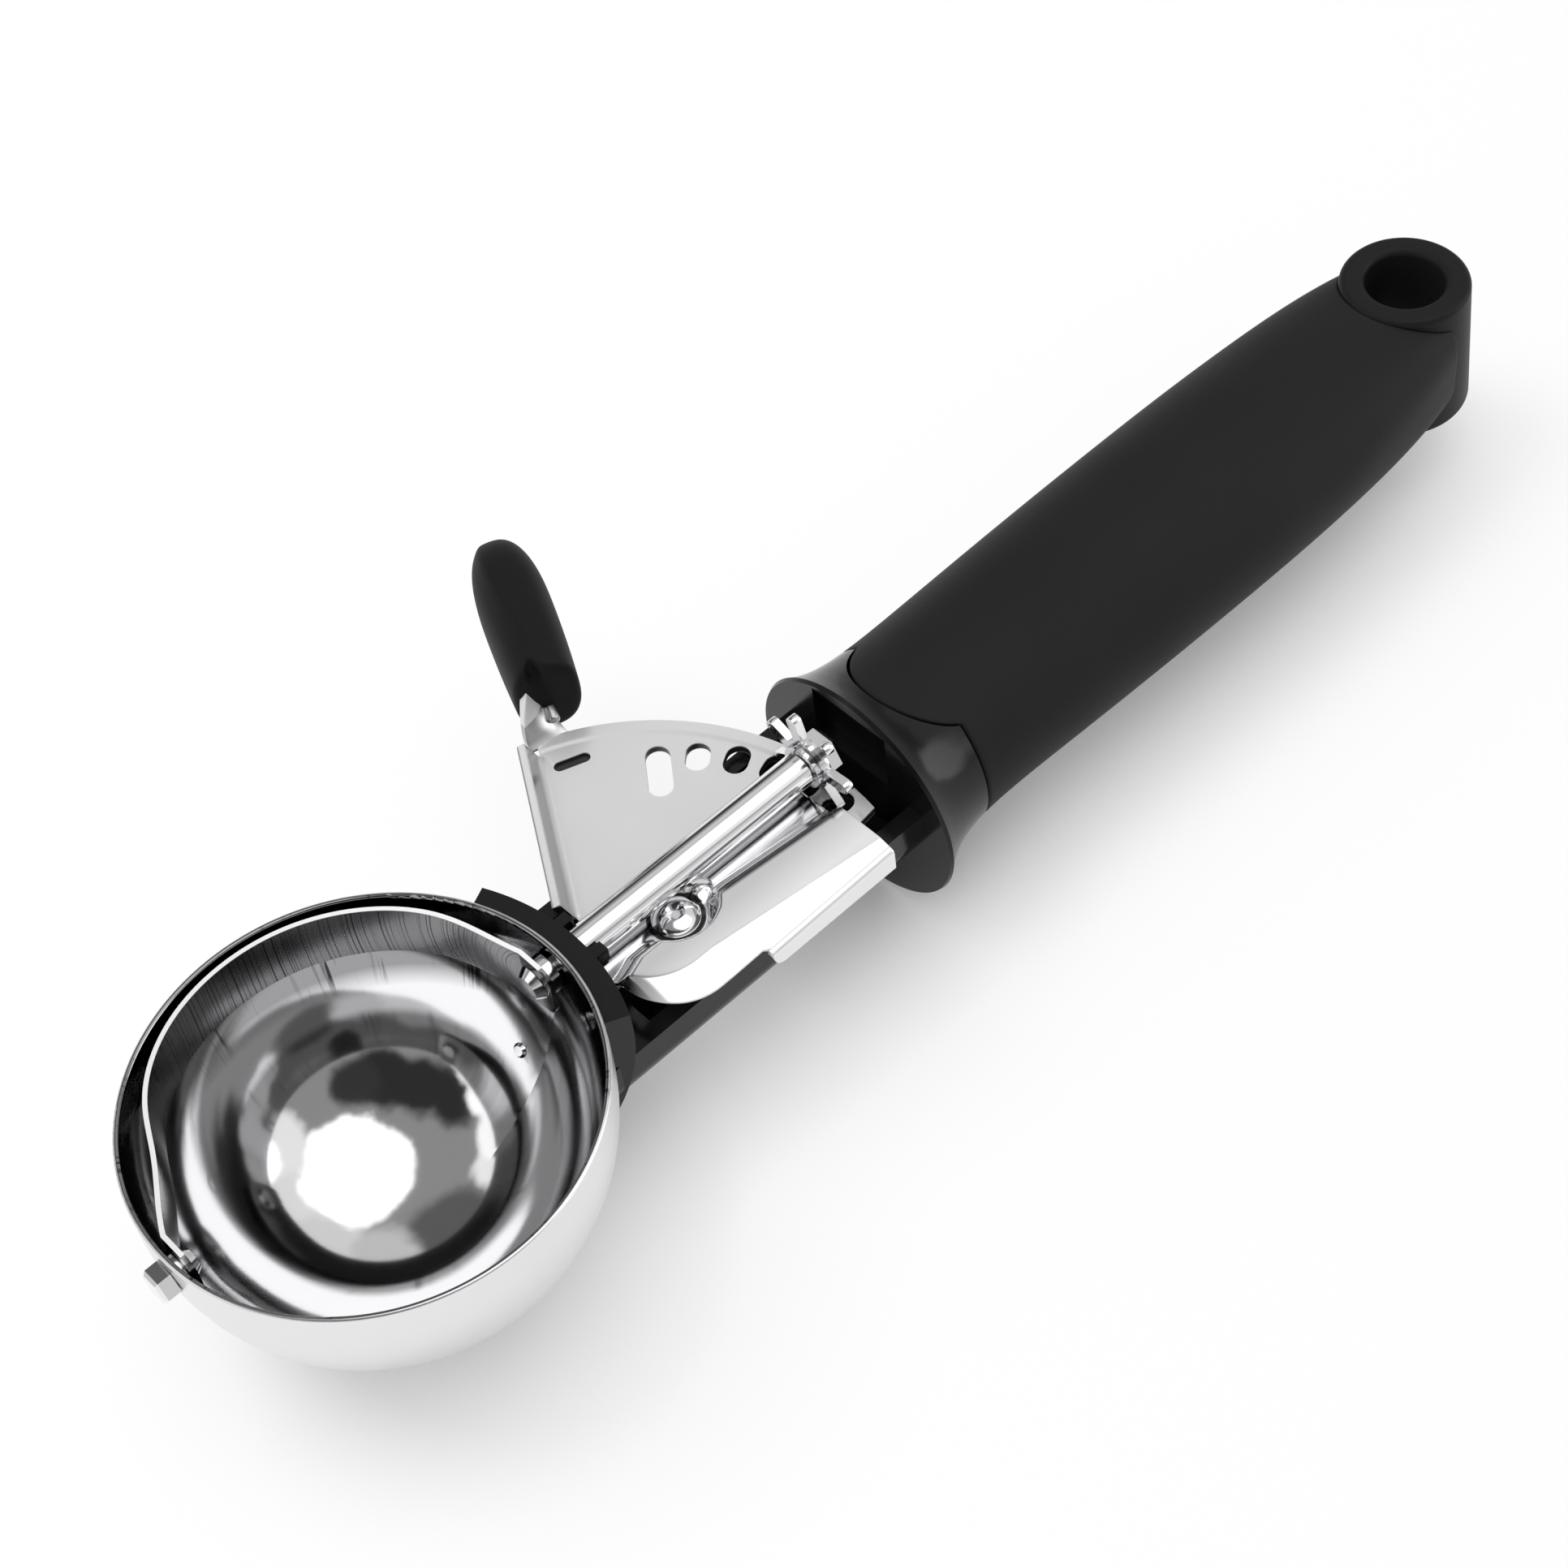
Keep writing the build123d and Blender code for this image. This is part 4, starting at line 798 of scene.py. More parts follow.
class SCOOP_OT_grip(bpy.types.Operator):
    """Model the soft grip with its rolled seam lip and the cut round the hang eye"""

    bl_idname = "scoop.grip"
    bl_label = "Grip"

    def execute(self, context):
        sizes = context.scene.scoop_sizes
        colours = context.scene.scoop_colours
        lip = sizes.seam_lip * PER_METRE
        rear_lip = lip * 0.6
        hole_x = -BOWL_CENTRE.x
        rear = hole_x + GRIP_REAR
        wall = 2.2
        run_rows = 150
        columns = 220

        def front(angle):
            x = TONGUE_CUSP
            for _ in range(SETTLING_ROUNDS):
                x = seam_x(handle_point(x, angle, 0.0).y)
            return x

        def back(angle):
            x = rear
            for _ in range(SETTLING_ROUNDS):
                spot = handle_point(x, angle, 0.0)
                room = (eye_radius(spot.z) + EYE_SEAT) ** 2 - spot.y**2
                x = min(rear, hole_x - sqrt(max(0.0, room)))
            return x

        rows = [("front", 0.0, wall)]
        rows += [("front", lip * (1 - cos(turn)), lip * (1 - sin(turn))) for turn in quarter_turn(6)]
        rows += [("run", step / run_rows, 0.0) for step in range(1, run_rows)]
        for turn in reversed(quarter_turn(4)):
            rows.append(("back", -rear_lip * (1 - cos(turn)), rear_lip * (1 - sin(turn))))
        rows += [("back", 0.0, wall)]
        edges = {}

        def place(turn, share):
            angle = 2 * pi * turn
            key = round(turn * columns) % columns
            if key not in edges:
                edges[key] = front(angle), back(angle)
            start, end = edges[key]
            kind, offset, inset = rows[round(share * (len(rows) - 1))]
            if kind == "front":
                return handle_point(start + offset, angle, inset)
            if kind == "back":
                return handle_point(end + offset, angle, inset)
            return handle_point(start + lip + (end - rear_lip - start - lip) * offset, angle, inset)

        bm = bmesh.new()
        mapped_grid(bm, columns, len(rows) - 1, place)
        bmesh.ops.remove_doubles(bm, verts=bm.verts[:], dist=MERGE)
        material = black_skin(
            "grip_rubber", colours.grip_black, gloss=(0.52, 0.64), shine=0.15,
            pebble_scale=1500.0, pebble_strength=0.22, pebble_depth=0.05 * MM,
        )
        finish_piece(bm, "grip_cover", "frame", material, ("grip_sleeve",))
        return {"FINISHED"}


class SCOOP_OT_hang_eye(bpy.types.Operator):
    """Turn the hang eye's tapered ring with soft edges"""

    bl_idname = "scoop.hang_eye"
    bl_label = "Hang Eye"

    def execute(self, context):
        colours = context.scene.scoop_colours
        curve = context.scene.scoop_sizes.eye_round * PER_METRE
        hole_r = frame["record"]["mounts"][0]["dims"]["r_mm"]
        bm = bmesh.new()
        profile = [(hole_r, 0.0)]
        profile += arc_points((hole_r + curve, eye_high.z - curve), curve, 180, 90, 8)
        profile += arc_points((EYE_TOP_R - curve, eye_high.z - curve), curve, 90, 0, 8)
        profile += arc_points((EYE_FOOT_R - curve, eye_low.z + curve), curve, 0, -90, 8)
        profile += arc_points((hole_r + curve, eye_low.z + curve), curve, -90, -180, 8)
        profile += [(hole_r, 0.0)]
        lathe(bm, profile, Vector(), (0, 0, 1), 128)
        material = black_skin(
            "eye_plastic", colours.grip_black, gloss=(0.42, 0.52), shine=0.12,
            pebble_scale=2200.0, pebble_strength=0.08, pebble_depth=0.03 * MM,
        )
        finish_piece(bm, "eye_ring", "frame", material, ("hang_eye",))
        return {"FINISHED"}


class SCOOP_OT_neck(bpy.types.Operator):
    """Give the neck, guard and collar their gloss, and the core its plain black"""

    bl_idname = "scoop.neck"
    bl_label = "Neck and Core"

    def execute(self, context):
        colours = context.scene.scoop_colours
        gloss = black_skin(
            "neck_plastic", colours.gloss_black, gloss=(0.12, 0.20), shine=0.26,
            pebble_scale=900.0, pebble_strength=0.03, pebble_depth=0.02 * MM,
        )
        paint("neck_frame", gloss)
        core = black_skin(
            "core_plastic", colours.grip_black, gloss=(0.5, 0.6), shine=0.3,
            pebble_scale=1500.0, pebble_strength=0.1, pebble_depth=0.03 * MM,
        )
        paint("handle_core", core)
        return {"FINISHED"}


class SCOOP_OT_bowl(bpy.types.Operator):
    """Polish the bowl and finish its rivets, pin and spacers"""

    bl_idname = "scoop.bowl"
    bl_label = "Bowl"

    def execute(self, context):
        colours = context.scene.scoop_colours
        paint("bowl", bowl_steel(colours.polished))
        for node in ("bowl_rivet", "front_pivot_pin", "front_spacer", "shaft_spacer"):
            paint(node, bright_steel())
        return {"FINISHED"}


class SCOOP_OT_blade(bpy.types.Operator):
    """Finish the scraper blade as bright rolled strip"""

    bl_idname = "scoop.blade"
    bl_label = "Scraper Blade"

    def execute(self, context):
        colours = context.scene.scoop_colours
        paint("scraper_blade", blade_steel(colours.polished))
        return {"FINISHED"}


# Pinion and shaft

PINION_TEETH = 7
PINION_HUB_R = 3.7
PINION_FINGER = 1.7
PINION_TIP_R = 7.4
SECTOR_TEETH = 32
FIRST_SLOT = -2.95
SLOT_STEP = 360 / SECTOR_TEETH


class SCOOP_OT_pinion(bpy.types.Operator):
    """Stamp the star pinion with soft edges and finish the shaft's pieces"""

    bl_idname = "scoop.pinion"
    bl_label = "Pinion and Shaft"

    def execute(self, context):
        edge = context.scene.scoop_sizes.edge_round * PER_METRE
        pinion_mid_x = (pinion_low.x + pinion_high.x) / 2
        contact = atan2(-PIVOT.y, pinion_mid_x - PIVOT.x)
        phase = radians(FIRST_SLOT + SLOT_STEP) - contact
        first = radians(270) + phase * SECTOR_TEETH / PINION_TEETH
        half = PINION_FINGER / 2
        root_turn = 2 * pi / PINION_TEETH
        root_half = atan2(half, PINION_HUB_R)
        outline = []
        for finger in range(PINION_TEETH):
            angle = first + finger * root_turn
            tip = Vector((cos(angle), sin(angle))) * (PINION_TIP_R - half)
            root_start = degrees(angle + root_half)
            root_end = degrees(angle + root_turn - root_half)
            outline += arc_points(tip, half, degrees(angle) - 90, degrees(angle) + 90, 8)
            outline += arc_points((0, 0), PINION_HUB_R, root_start, root_end, 4)
        stand = Matrix(((0, 0, 1, pinion_low.x), (1, 0, 0, 0), (0, 1, 0, BOWL_CENTRE.z), (0, 0, 0, 1)))
        bm = bmesh.new()
        verts = flat_plate(bm, [outline], 0.0, pinion_high.x - pinion_low.x, stand)
        round_edges(bm, verts, edge)
        finish_piece(bm, "pinion_star", "scraper", bright_steel(), ("pinion",), weighted=True)
        for node in ("scraper_shaft", "pinion_washer", "pinion_cap"):
            paint(node, bright_steel())
        paint("bearing_tube", tube_steel())
        return {"FINISHED"}


# Sector lever, measured from the lever's pivot

SLOT_CIRCLE_R = 26.2
SLOT_COUNT = 6
SLOT_WIDTH = 3.3
SLOT_LENGTH = 4.6
LONG_SLOT_LENGTH = 8.4
SLOT_END_STEPS = 10
SECTOR_HUB_R = 8.5
SECTOR_CORNER = Vector((6.0, 35.2))
EDGE_FOOT = Vector((-8.8, 10.3))
FOLD_INSET = 1.5
PLATE_UNDER_FOLD = 0.6
FLANGE_SHARE = 0.92
FLANGE_RISE = 3.1
FLANGE_TURN = radians(66)
FLANGE_THICK = SHEET * 0.95
TAB_THICK = SHEET * 0.8
FOLD_R = 1.0
FOLD_SINK = 0.05
FLAT_SHARE = 0.2
ROLL_SHARE = 0.4
CURL_R = 0.45
CURL_LENGTH = 2.45
CURL_PLACE = Vector((10.2, 34.9, 6.0))
CURL_RISE = Vector((0, 0, 0.35))
SLIT_MIDDLE = (7.9, 29.0)
SLIT_ANGLE = -21.0
SLIT_LENGTH = 5.0
SLIT_WIDTH = 1.6
# Thickness and height of the thin sheet under the slit that carries painted shade
SLIT_SHADE_WEB = 0.3


def polar(radius, angle):
    """Point at a radius and an angle in degrees."""
    return (radius * cos(radians(angle)), radius * sin(radians(angle)))


SECTOR_ARC = (polar(29.4, -10), polar(31.0, 32), polar(35.4, 75))


def circle_through(first, second, third):
    """Centre and radius of the circle through three points."""
    ax, ay = first
    bx, by = second
    cx, cy = third
    twice = 2 * (ax * (by - cy) + bx * (cy - ay) + cx * (ay - by))
    ux = ((ax**2 + ay**2) * (by - cy) + (bx**2 + by**2) * (cy - ay) + (cx**2 + cy**2) * (ay - by)) / twice
    uy = ((ax**2 + ay**2) * (cx - bx) + (bx**2 + by**2) * (ax - cx) + (cx**2 + cy**2) * (bx - ax)) / twice
    return (ux, uy), hypot(ax - ux, ay - uy)


def arc_through(first, second, third, steps):
    """Points on the arc through three points, without its last point."""
    (ux, uy), radius = circle_through(first, second, third)
    start = atan2(first[1] - uy, first[0] - ux)
    sweep = (atan2(third[1] - uy, third[0] - ux) - start) % (2 * pi)
    return [
        (ux + radius * cos(start + sweep * step / steps), uy + radius * sin(start + sweep * step / steps))
        for step in range(steps)
    ]


def slot_loop(middle, angle, length, width):
    """Outline of a round-ended slot."""
    along = Vector(polar(1.0, angle))
    reach = (length - width) / 2
    loop = []
    for side, start in ((1, angle - 90), (-1, angle + 90)):
        centre = Vector(middle) + along * (reach * side)
        loop += arc_points(centre, width / 2, start, start + 180, SLOT_END_STEPS)
    return loop


class SCOOP_OT_sector(bpy.types.Operator):
    """Stamp the sector lever with its slots, coined step, rolled flange, twisted tab and curl"""

    bl_idname = "scoop.sector"
    bl_label = "Sector Lever"

    def execute(self, context):
        sizes = context.scene.scoop_sizes
        edge = sizes.edge_round * PER_METRE
        to_frame = Matrix.Translation((PIVOT.x, PIVOT.y, 0.0))
        edge_line = SECTOR_CORNER - EDGE_FOOT
        edge_along = edge_line.normalized()
        edge_out = Vector((-edge_along.y, edge_along.x))
        fold_in = edge_out * (FOLD_INSET - PLATE_UNDER_FOLD)
        outline = arc_through(*SECTOR_ARC, 60)
        outline += [SECTOR_ARC[2], tuple(SECTOR_CORNER - fold_in), tuple(EDGE_FOOT - fold_in)]
        outline += arc_points((0, 0), SECTOR_HUB_R, 172, 282, 24)
        holes = []
        for slot in range(SLOT_COUNT):
            length = LONG_SLOT_LENGTH if slot == SLOT_COUNT - 1 else SLOT_LENGTH
            angle = FIRST_SLOT + slot * SLOT_STEP
            middle = polar(SLOT_CIRCLE_R - (length - SLOT_LENGTH) / 2, angle)
            holes.append(slot_loop(middle, angle, length, SLOT_WIDTH))
        holes.append(slot_loop(SLIT_MIDDLE, SLIT_ANGLE, SLIT_LENGTH, SLIT_WIDTH))
        bm = bmesh.new()
        verts = flat_plate(bm, [outline] + holes, SECTOR_BOTTOM, SHEET, to_frame)
        round_edges(bm, verts, edge)
        # A thin sheet closes the slit from below; its top takes the cut walls' painted shade, so the slit reads
        # dark
        shade_web_loop = slot_loop(SLIT_MIDDLE, SLIT_ANGLE, SLIT_LENGTH + SLIT_SHADE_WEB, SLIT_WIDTH + SLIT_SHADE_WEB)
        flat_plate(bm, [shade_web_loop], SECTOR_BOTTOM + SLIT_SHADE_WEB, SLIT_SHADE_WEB, to_frame)

        def flange(u, v):
            run = EDGE_FOOT + edge_along * (edge_line.length * FLANGE_SHARE * u)
            flat = min(1.0, v / FLAT_SHARE)
            roll = min(1.0, max(0.0, v - FLAT_SHARE) / ROLL_SHARE) * FLANGE_TURN
            bent_share = FLAT_SHARE + ROLL_SHARE
            climb = max(0.0, v - bent_share) / (1 - bent_share) * FLANGE_RISE
            out = FOLD_R * sin(roll) + climb * cos(FLANGE_TURN) - FOLD_INSET - PLATE_UNDER_FOLD * (1 - flat)
            up = FOLD_R * (1 - cos(roll)) + climb * sin(FLANGE_TURN) - FOLD_SINK * (1 - flat)
            spot = run + edge_out * out
            return Vector((PIVOT.x + spot.x, PIVOT.y + spot.y, SECTOR_TOP + up))

        strip = bmesh.new()
        mapped_grid(strip, 30, 30, flange)
        thicken(strip, FLANGE_THICK, (-edge_out.x, -edge_out.y, 1))
        round_edges(strip, strip.verts[:], edge)
        merge_into(bm, strip)
        stand = Vector((PIVOT.x, PIVOT.y, 0.0))
        in_pad = PAD_START + PAD_ALONG * 4.0
        left_edge = [
            Vector((5.4, 34.2, SECTOR_TOP - 0.4)),
            Vector((4.9, 35.4, 7.4)),
            Vector((8.0, 36.6, 11.6)),
            in_pad + PAD_ACROSS * 1.6 + Vector((0, 0, 12.4)),
        ]
        right_edge = [
            Vector((11.0, 33.0, SECTOR_TOP - 0.4)),
            Vector((11.0, 34.4, SECTOR_TOP + 0.2)),
            Vector((10.8, 36.0, 6.0)),
            in_pad + PAD_ACROSS * 0.6 + Vector((0, 0, 6.2)),
        ]

        def twisted(u, v):
            return stand + curve_point(right_edge, v).lerp(curve_point(left_edge, v), u)

        tab = bmesh.new()
        mapped_grid(tab, 14, 40, twisted)
        thicken(tab, TAB_THICK, PAD_ACROSS * -1 + Vector((0, 0, 1)))
        round_edges(tab, tab.verts[:], edge)
        merge_into(bm, tab)
        curl = bmesh.new()
        curl_profile = [(0.0, 0.0)] + arc_points((CURL_R, CURL_R), CURL_R, -90, 0, 5)
        curl_profile += arc_points((CURL_R, CURL_LENGTH - CURL_R), CURL_R, 0, 90, 5) + [(0.0, CURL_LENGTH)]
        lathe(curl, curl_profile, stand + CURL_PLACE, PAD_ALONG + CURL_RISE, 24)
        merge_into(bm, curl)
        sheet = sector_steel()
        finish_piece(bm, "sector_sheet", "lever", sheet, ("sector_lever",), weighted=True)
        return {"FINISHED"}


# Painted shade on the walls of the cut slots and slit
CUT_WALL_SHADE = (0.05, 0.05, 0.05, 1.0)
# Painted shade on the flange and tab, and how much of it they take
FOLD_SHADE = (0.25, 0.25, 0.255, 1.0)
FOLD_SHADE_SHARE = 0.6
SATIN_METAL = 0.55
STEP_FOOT = 2.5
STEP_HEAD = 1.5


def sector_steel():
    """Satin sheet with painted shade on its cut walls and flange, a painted highlight on the flange's edge, and a
    step along its round edge.
    """
    scene = bpy.context.scene
    material = steel(
        "sector_steel", scene.scoop_colours.satin, gloss=(0.27, 0.30), grain_stretch=(300.0, 1200.0, 1200.0),
        grain_strength=0.02,
    )
    tree, shader, vector = opened(material)
    plain = shader.inputs["Base Color"].links[0].from_socket
    height = axes(tree, vector)["Z"]
    fold_foot = (SECTOR_TOP + 0.1) * MM
    flange_top = SECTOR_TOP + FLANGE_RISE
    # Painted highlight: the flange's top edge is less metallic, so it reads white
    painted_lit_edge = ramp(tree, height, (flange_top - 0.1) * MM, flange_top * MM, 1.0, HIGHLIGHT_EDGE_METAL)
    folded = ramp(tree, height, fold_foot, (SECTOR_TOP + 0.8) * MM, SATIN_METAL, 1.0)
    # Painted shade on the flange and tab, held back on the flange's painted highlight
    risen = ramp(tree, height, fold_foot, (SECTOR_TOP + 1.0) * MM, 0.0, FOLD_SHADE_SHARE)
    # Painted shade on the walls of the slots and slit, between the sheet's top and bottom
    under_top = number(tree, "LESS_THAN", height, (SECTOR_TOP - 0.2) * MM)
    over_foot = number(tree, "GREATER_THAN", height, (SECTOR_BOTTOM + 0.1) * MM)
    fold_tone = blend(tree, product(tree, risen, painted_lit_edge), plain, FOLD_SHADE)
    tone = blend(tree, product(tree, under_top, over_foot), fold_tone, CUT_WALL_SHADE)
    tree.links.new(product(tree, folded, painted_lit_edge), shader.inputs["Metallic"])
    tree.links.new(tone, shader.inputs["Base Color"])
    middle, radius = circle_through(*SECTOR_ARC)
    reach = from_upright(tree, vector, PIVOT.x + middle[0], PIVOT.y + middle[1])
    step = ramp(tree, reach, (radius - STEP_FOOT) * MM, (radius - STEP_HEAD) * MM, kind="SMOOTHSTEP")
    stepped = add_bump(tree, step, 1.0, scene.scoop_sizes.step_height)
    grain_bump = shader.inputs["Normal"].links[0].from_node
    tree.links.new(stepped, grain_bump.inputs["Normal"])
    return material


# Cover plate, measured from the bowl's centre

PLATE_FRONT = plate_low.x - BOWL_CENTRE.x
PLATE_REAR = plate_high.x - BOWL_CENTRE.x
PLATE_SIDE = -plate_low.y
PLATE_TOP = plate_high.z
PLATE_THICK = 0.9
PRESSED_THICK = PLATE_THICK * 0.8
PLATE_EDGE_SHARE = 0.6
PLATE_FLOOR_TOP = plate_low.z + PLATE_THICK
PLATE_CORNER_R = 8.4
PLATE_EDGE_INSET = 1.4
FLANGE_START = PLATE_FRONT + 15.5
FLANGE_BEND = 0.9
FLANGE_BEND_SHARE = 0.35
FLANGE_CORNER_R = 1.8
FLANGE_CLEAR = 0.05
BAND_TILT = 0.30
BAND_WIDTH = 4.2
BAND_TAPER = 0.125
BAND_TAPER_X = 43.5
BAND_SOFTNESS = 0.12
RIDGE_FOOT_Y = -3.0
RIDGE_RUN = 3.4
RIDGE_SLANT = 0.09
RIDGE_BEND_X = 52.0
RIDGE_BAND_Y = -6.0
RIDGE_FLARE = 0.35
RIDGE_FLARE_X = 37.0
BOSS_X = 49.6
BOSS_Y = -2.2
BOSS_R = 1.9
BOSS_RISE = 0.75
RIVET_R = 1.9
RIVET_HEAD_R = (rivet_high.x - rivet_low.x) / 2
DISH_R = RIVET_HEAD_R + 0.75
DISH_RUN = 1.9


def front_side(x):
    """Distance of the plate's outer edge from the middle line, without the flange."""
    front = PLATE_SIDE - PLATE_EDGE_INSET
    lead = PLATE_FRONT + PLATE_CORNER_R - x
    if lead > 0:
        return front - PLATE_CORNER_R + sqrt(max(0.0, PLATE_CORNER_R**2 - lead**2))
    return front


def plate_side(x):
    """Distance of the plate's outer edge from the middle line."""
    flange = smooth_step(FLANGE_START - 0.4, FLANGE_START + 0.4, x)
    return front_side(x) + (PLATE_EDGE_INSET - FLANGE_BEND) * flange


def plate_height(x, y):
    """Top of the plate: a floor along the tube, a dish round the rivet, and a raised cover."""
    pivot_x = PIVOT.x - BOWL_CENTRE.x
    foot = RIDGE_FOOT_Y - RIDGE_SLANT * max(0.0, x - RIDGE_BEND_X) - RIDGE_FLARE * max(0.0, RIDGE_FLARE_X - x)
    from_rivet = hypot(x - pivot_x, y - PIVOT.y)
    raised = smooth_step(0.0, RIDGE_RUN, foot - y) * smooth_step(DISH_R, DISH_R + DISH_RUN, from_rivet)
    band = BAND_WIDTH - BAND_TAPER * max(0.0, x - BAND_TAPER_X)
    past = band - (front_side(x) + y)
    fall = BAND_TILT * (past + sqrt(past**2 + BAND_SOFTNESS)) / 2
    boss = BOSS_RISE * max(0.0, 1 - (hypot(x - BOSS_X, y - BOSS_Y) / BOSS_R) ** 2)
    return PLATE_FLOOR_TOP + (PLATE_TOP - PLATE_FLOOR_TOP - fall) * raised + boss * (1 - raised)


class SCOOP_OT_cover_plate(bpy.types.Operator):
    """Press the cover plate with its winding ridge, dish and side flange, and turn its rivet"""

    bl_idname = "scoop.cover_plate"
    bl_label = "Cover Plate"

    def execute(self, context):
        edge = context.scene.scoop_sizes.edge_round * PER_METRE * PLATE_EDGE_SHARE

        def sheet(u, v):
            x = PLATE_FRONT + (PLATE_REAR - PLATE_FRONT) * u
            y = plate_high.y - (plate_high.y + plate_side(x)) * v
            return Vector((BOWL_CENTRE.x + x, y, plate_height(x, y)))

        def flange(u, v):
            x = FLANGE_START + (PLATE_REAR - FLANGE_START) * u
            roll = min(1.0, v / FLANGE_BEND_SHARE) * pi / 2
            lead = max(0.0, FLANGE_CORNER_R - (x - FLANGE_START))
            shoulder = plate_height(x, -plate_side(x))
            rounded = FLANGE_CORNER_R - sqrt(FLANGE_CORNER_R**2 - lead**2)
            depth = shoulder - FLANGE_BEND - plate_low.z - FLANGE_CLEAR - rounded
            fall = max(0.0, v - FLANGE_BEND_SHARE) / (1 - FLANGE_BEND_SHARE) * depth
            y = -PLATE_SIDE + FLANGE_BEND * (1 - sin(roll))
            return Vector((BOWL_CENTRE.x + x, y, shoulder - FLANGE_BEND * (1 - cos(roll)) - fall))

        bm = bmesh.new()
        mapped_grid(bm, 140, 90, sheet)
        thicken(bm, PRESSED_THICK, (0, 0, 1))
        round_edges(bm, bm.verts[:], edge)
        strip = bmesh.new()
        mapped_grid(strip, 60, 30, flange)
        thicken(strip, PRESSED_THICK, (0, -1, 0.6))
        round_edges(strip, strip.verts[:], edge)
        merge_into(bm, strip)
        finish_piece(bm, "cover_plate", "frame", plate_steel(), ("mechanism_plate",))
        top = rivet_high.z
        seat = PLATE_FLOOR_TOP + 0.03
        foot = rivet_low.z
        profile = [(0.0, top - 0.75), (0.6, top - 0.7), (0.95, top - 0.25), (1.25, top), (1.7, top - 0.08)]
        profile += [(2.4, top - 0.42), (RIVET_HEAD_R - 0.12, seat + 0.35), (RIVET_HEAD_R, seat + 0.12)]
        profile += [(RIVET_HEAD_R, seat), (RIVET_R, seat), (RIVET_R, foot + 1.0), (RIVET_HEAD_R, foot + 1.0)]
        profile += [(RIVET_HEAD_R - 0.2, foot + 0.5), (2.2, foot), (0.0, foot)]
        head = bmesh.new()
        lathe(head, profile, Vector((PIVOT.x, PIVOT.y, 0.0)), (0, 0, 1), 72)
        finish_piece(head, "rivet_turned", "frame", bright_steel(), ("lever_rivet",))
        paint("lever_washer", bright_steel())
        return {"FINISHED"}


class SCOOP_OT_spring(bpy.types.Operator):
    """Wind the return spring from round wire"""

    bl_idname = "scoop.spring"
    bl_label = "Return Spring"

    def execute(self, context):
        colours = context.scene.scoop_colours
        wire = context.scene.scoop_sizes.wire_radius * PER_METRE
        coil_r = (spring_high.x - spring_low.x) / 2 - wire
        turns = 3
        steps = 80
        low = spring_low.z + wire
        rise = spring_high.z - wire - low
        centre = Vector((PIVOT.x, PIVOT.y, low))

        def wound(u, v):
            """Point on the wire: u runs round it and v from one leg's end to the other's."""
            first_leg = PIVOT.y - spring_low.y
            last_leg = spring_high.y - PIVOT.y
            coil = 2 * pi * coil_r * turns
            run = v * (first_leg + coil + last_leg) - first_leg
            turn = min(max(0.0, run), coil) / coil_r
            beyond = min(0.0, run) + max(0.0, run - coil)
            out = Vector((cos(turn), sin(turn), 0.0))
            ahead = Vector((-sin(turn), cos(turn), 0.0))
            core = centre + out * coil_r + ahead * beyond + Vector((0, 0, rise * turn / (2 * pi * turns)))
            return core + (out * cos(2 * pi * u) + Vector((0, 0, sin(2 * pi * u)))) * wire

        bm = bmesh.new()
        mapped_grid(bm, 14, turns * steps, wound)
        bmesh.ops.remove_doubles(bm, verts=bm.verts[:], dist=MERGE)
        bmesh.ops.holes_fill(bm, edges=[item for item in bm.edges if item.is_boundary], sides=24)
        material = steel(
            "spring_steel", colours.wire, gloss=(0.22, 0.32), grain_stretch=(3000.0, 3000.0, 3000.0),
            grain_strength=0.05,
        )
        finish_piece(bm, "spring_wire", "frame", material, ("return_spring",))
        return {"FINISHED"}


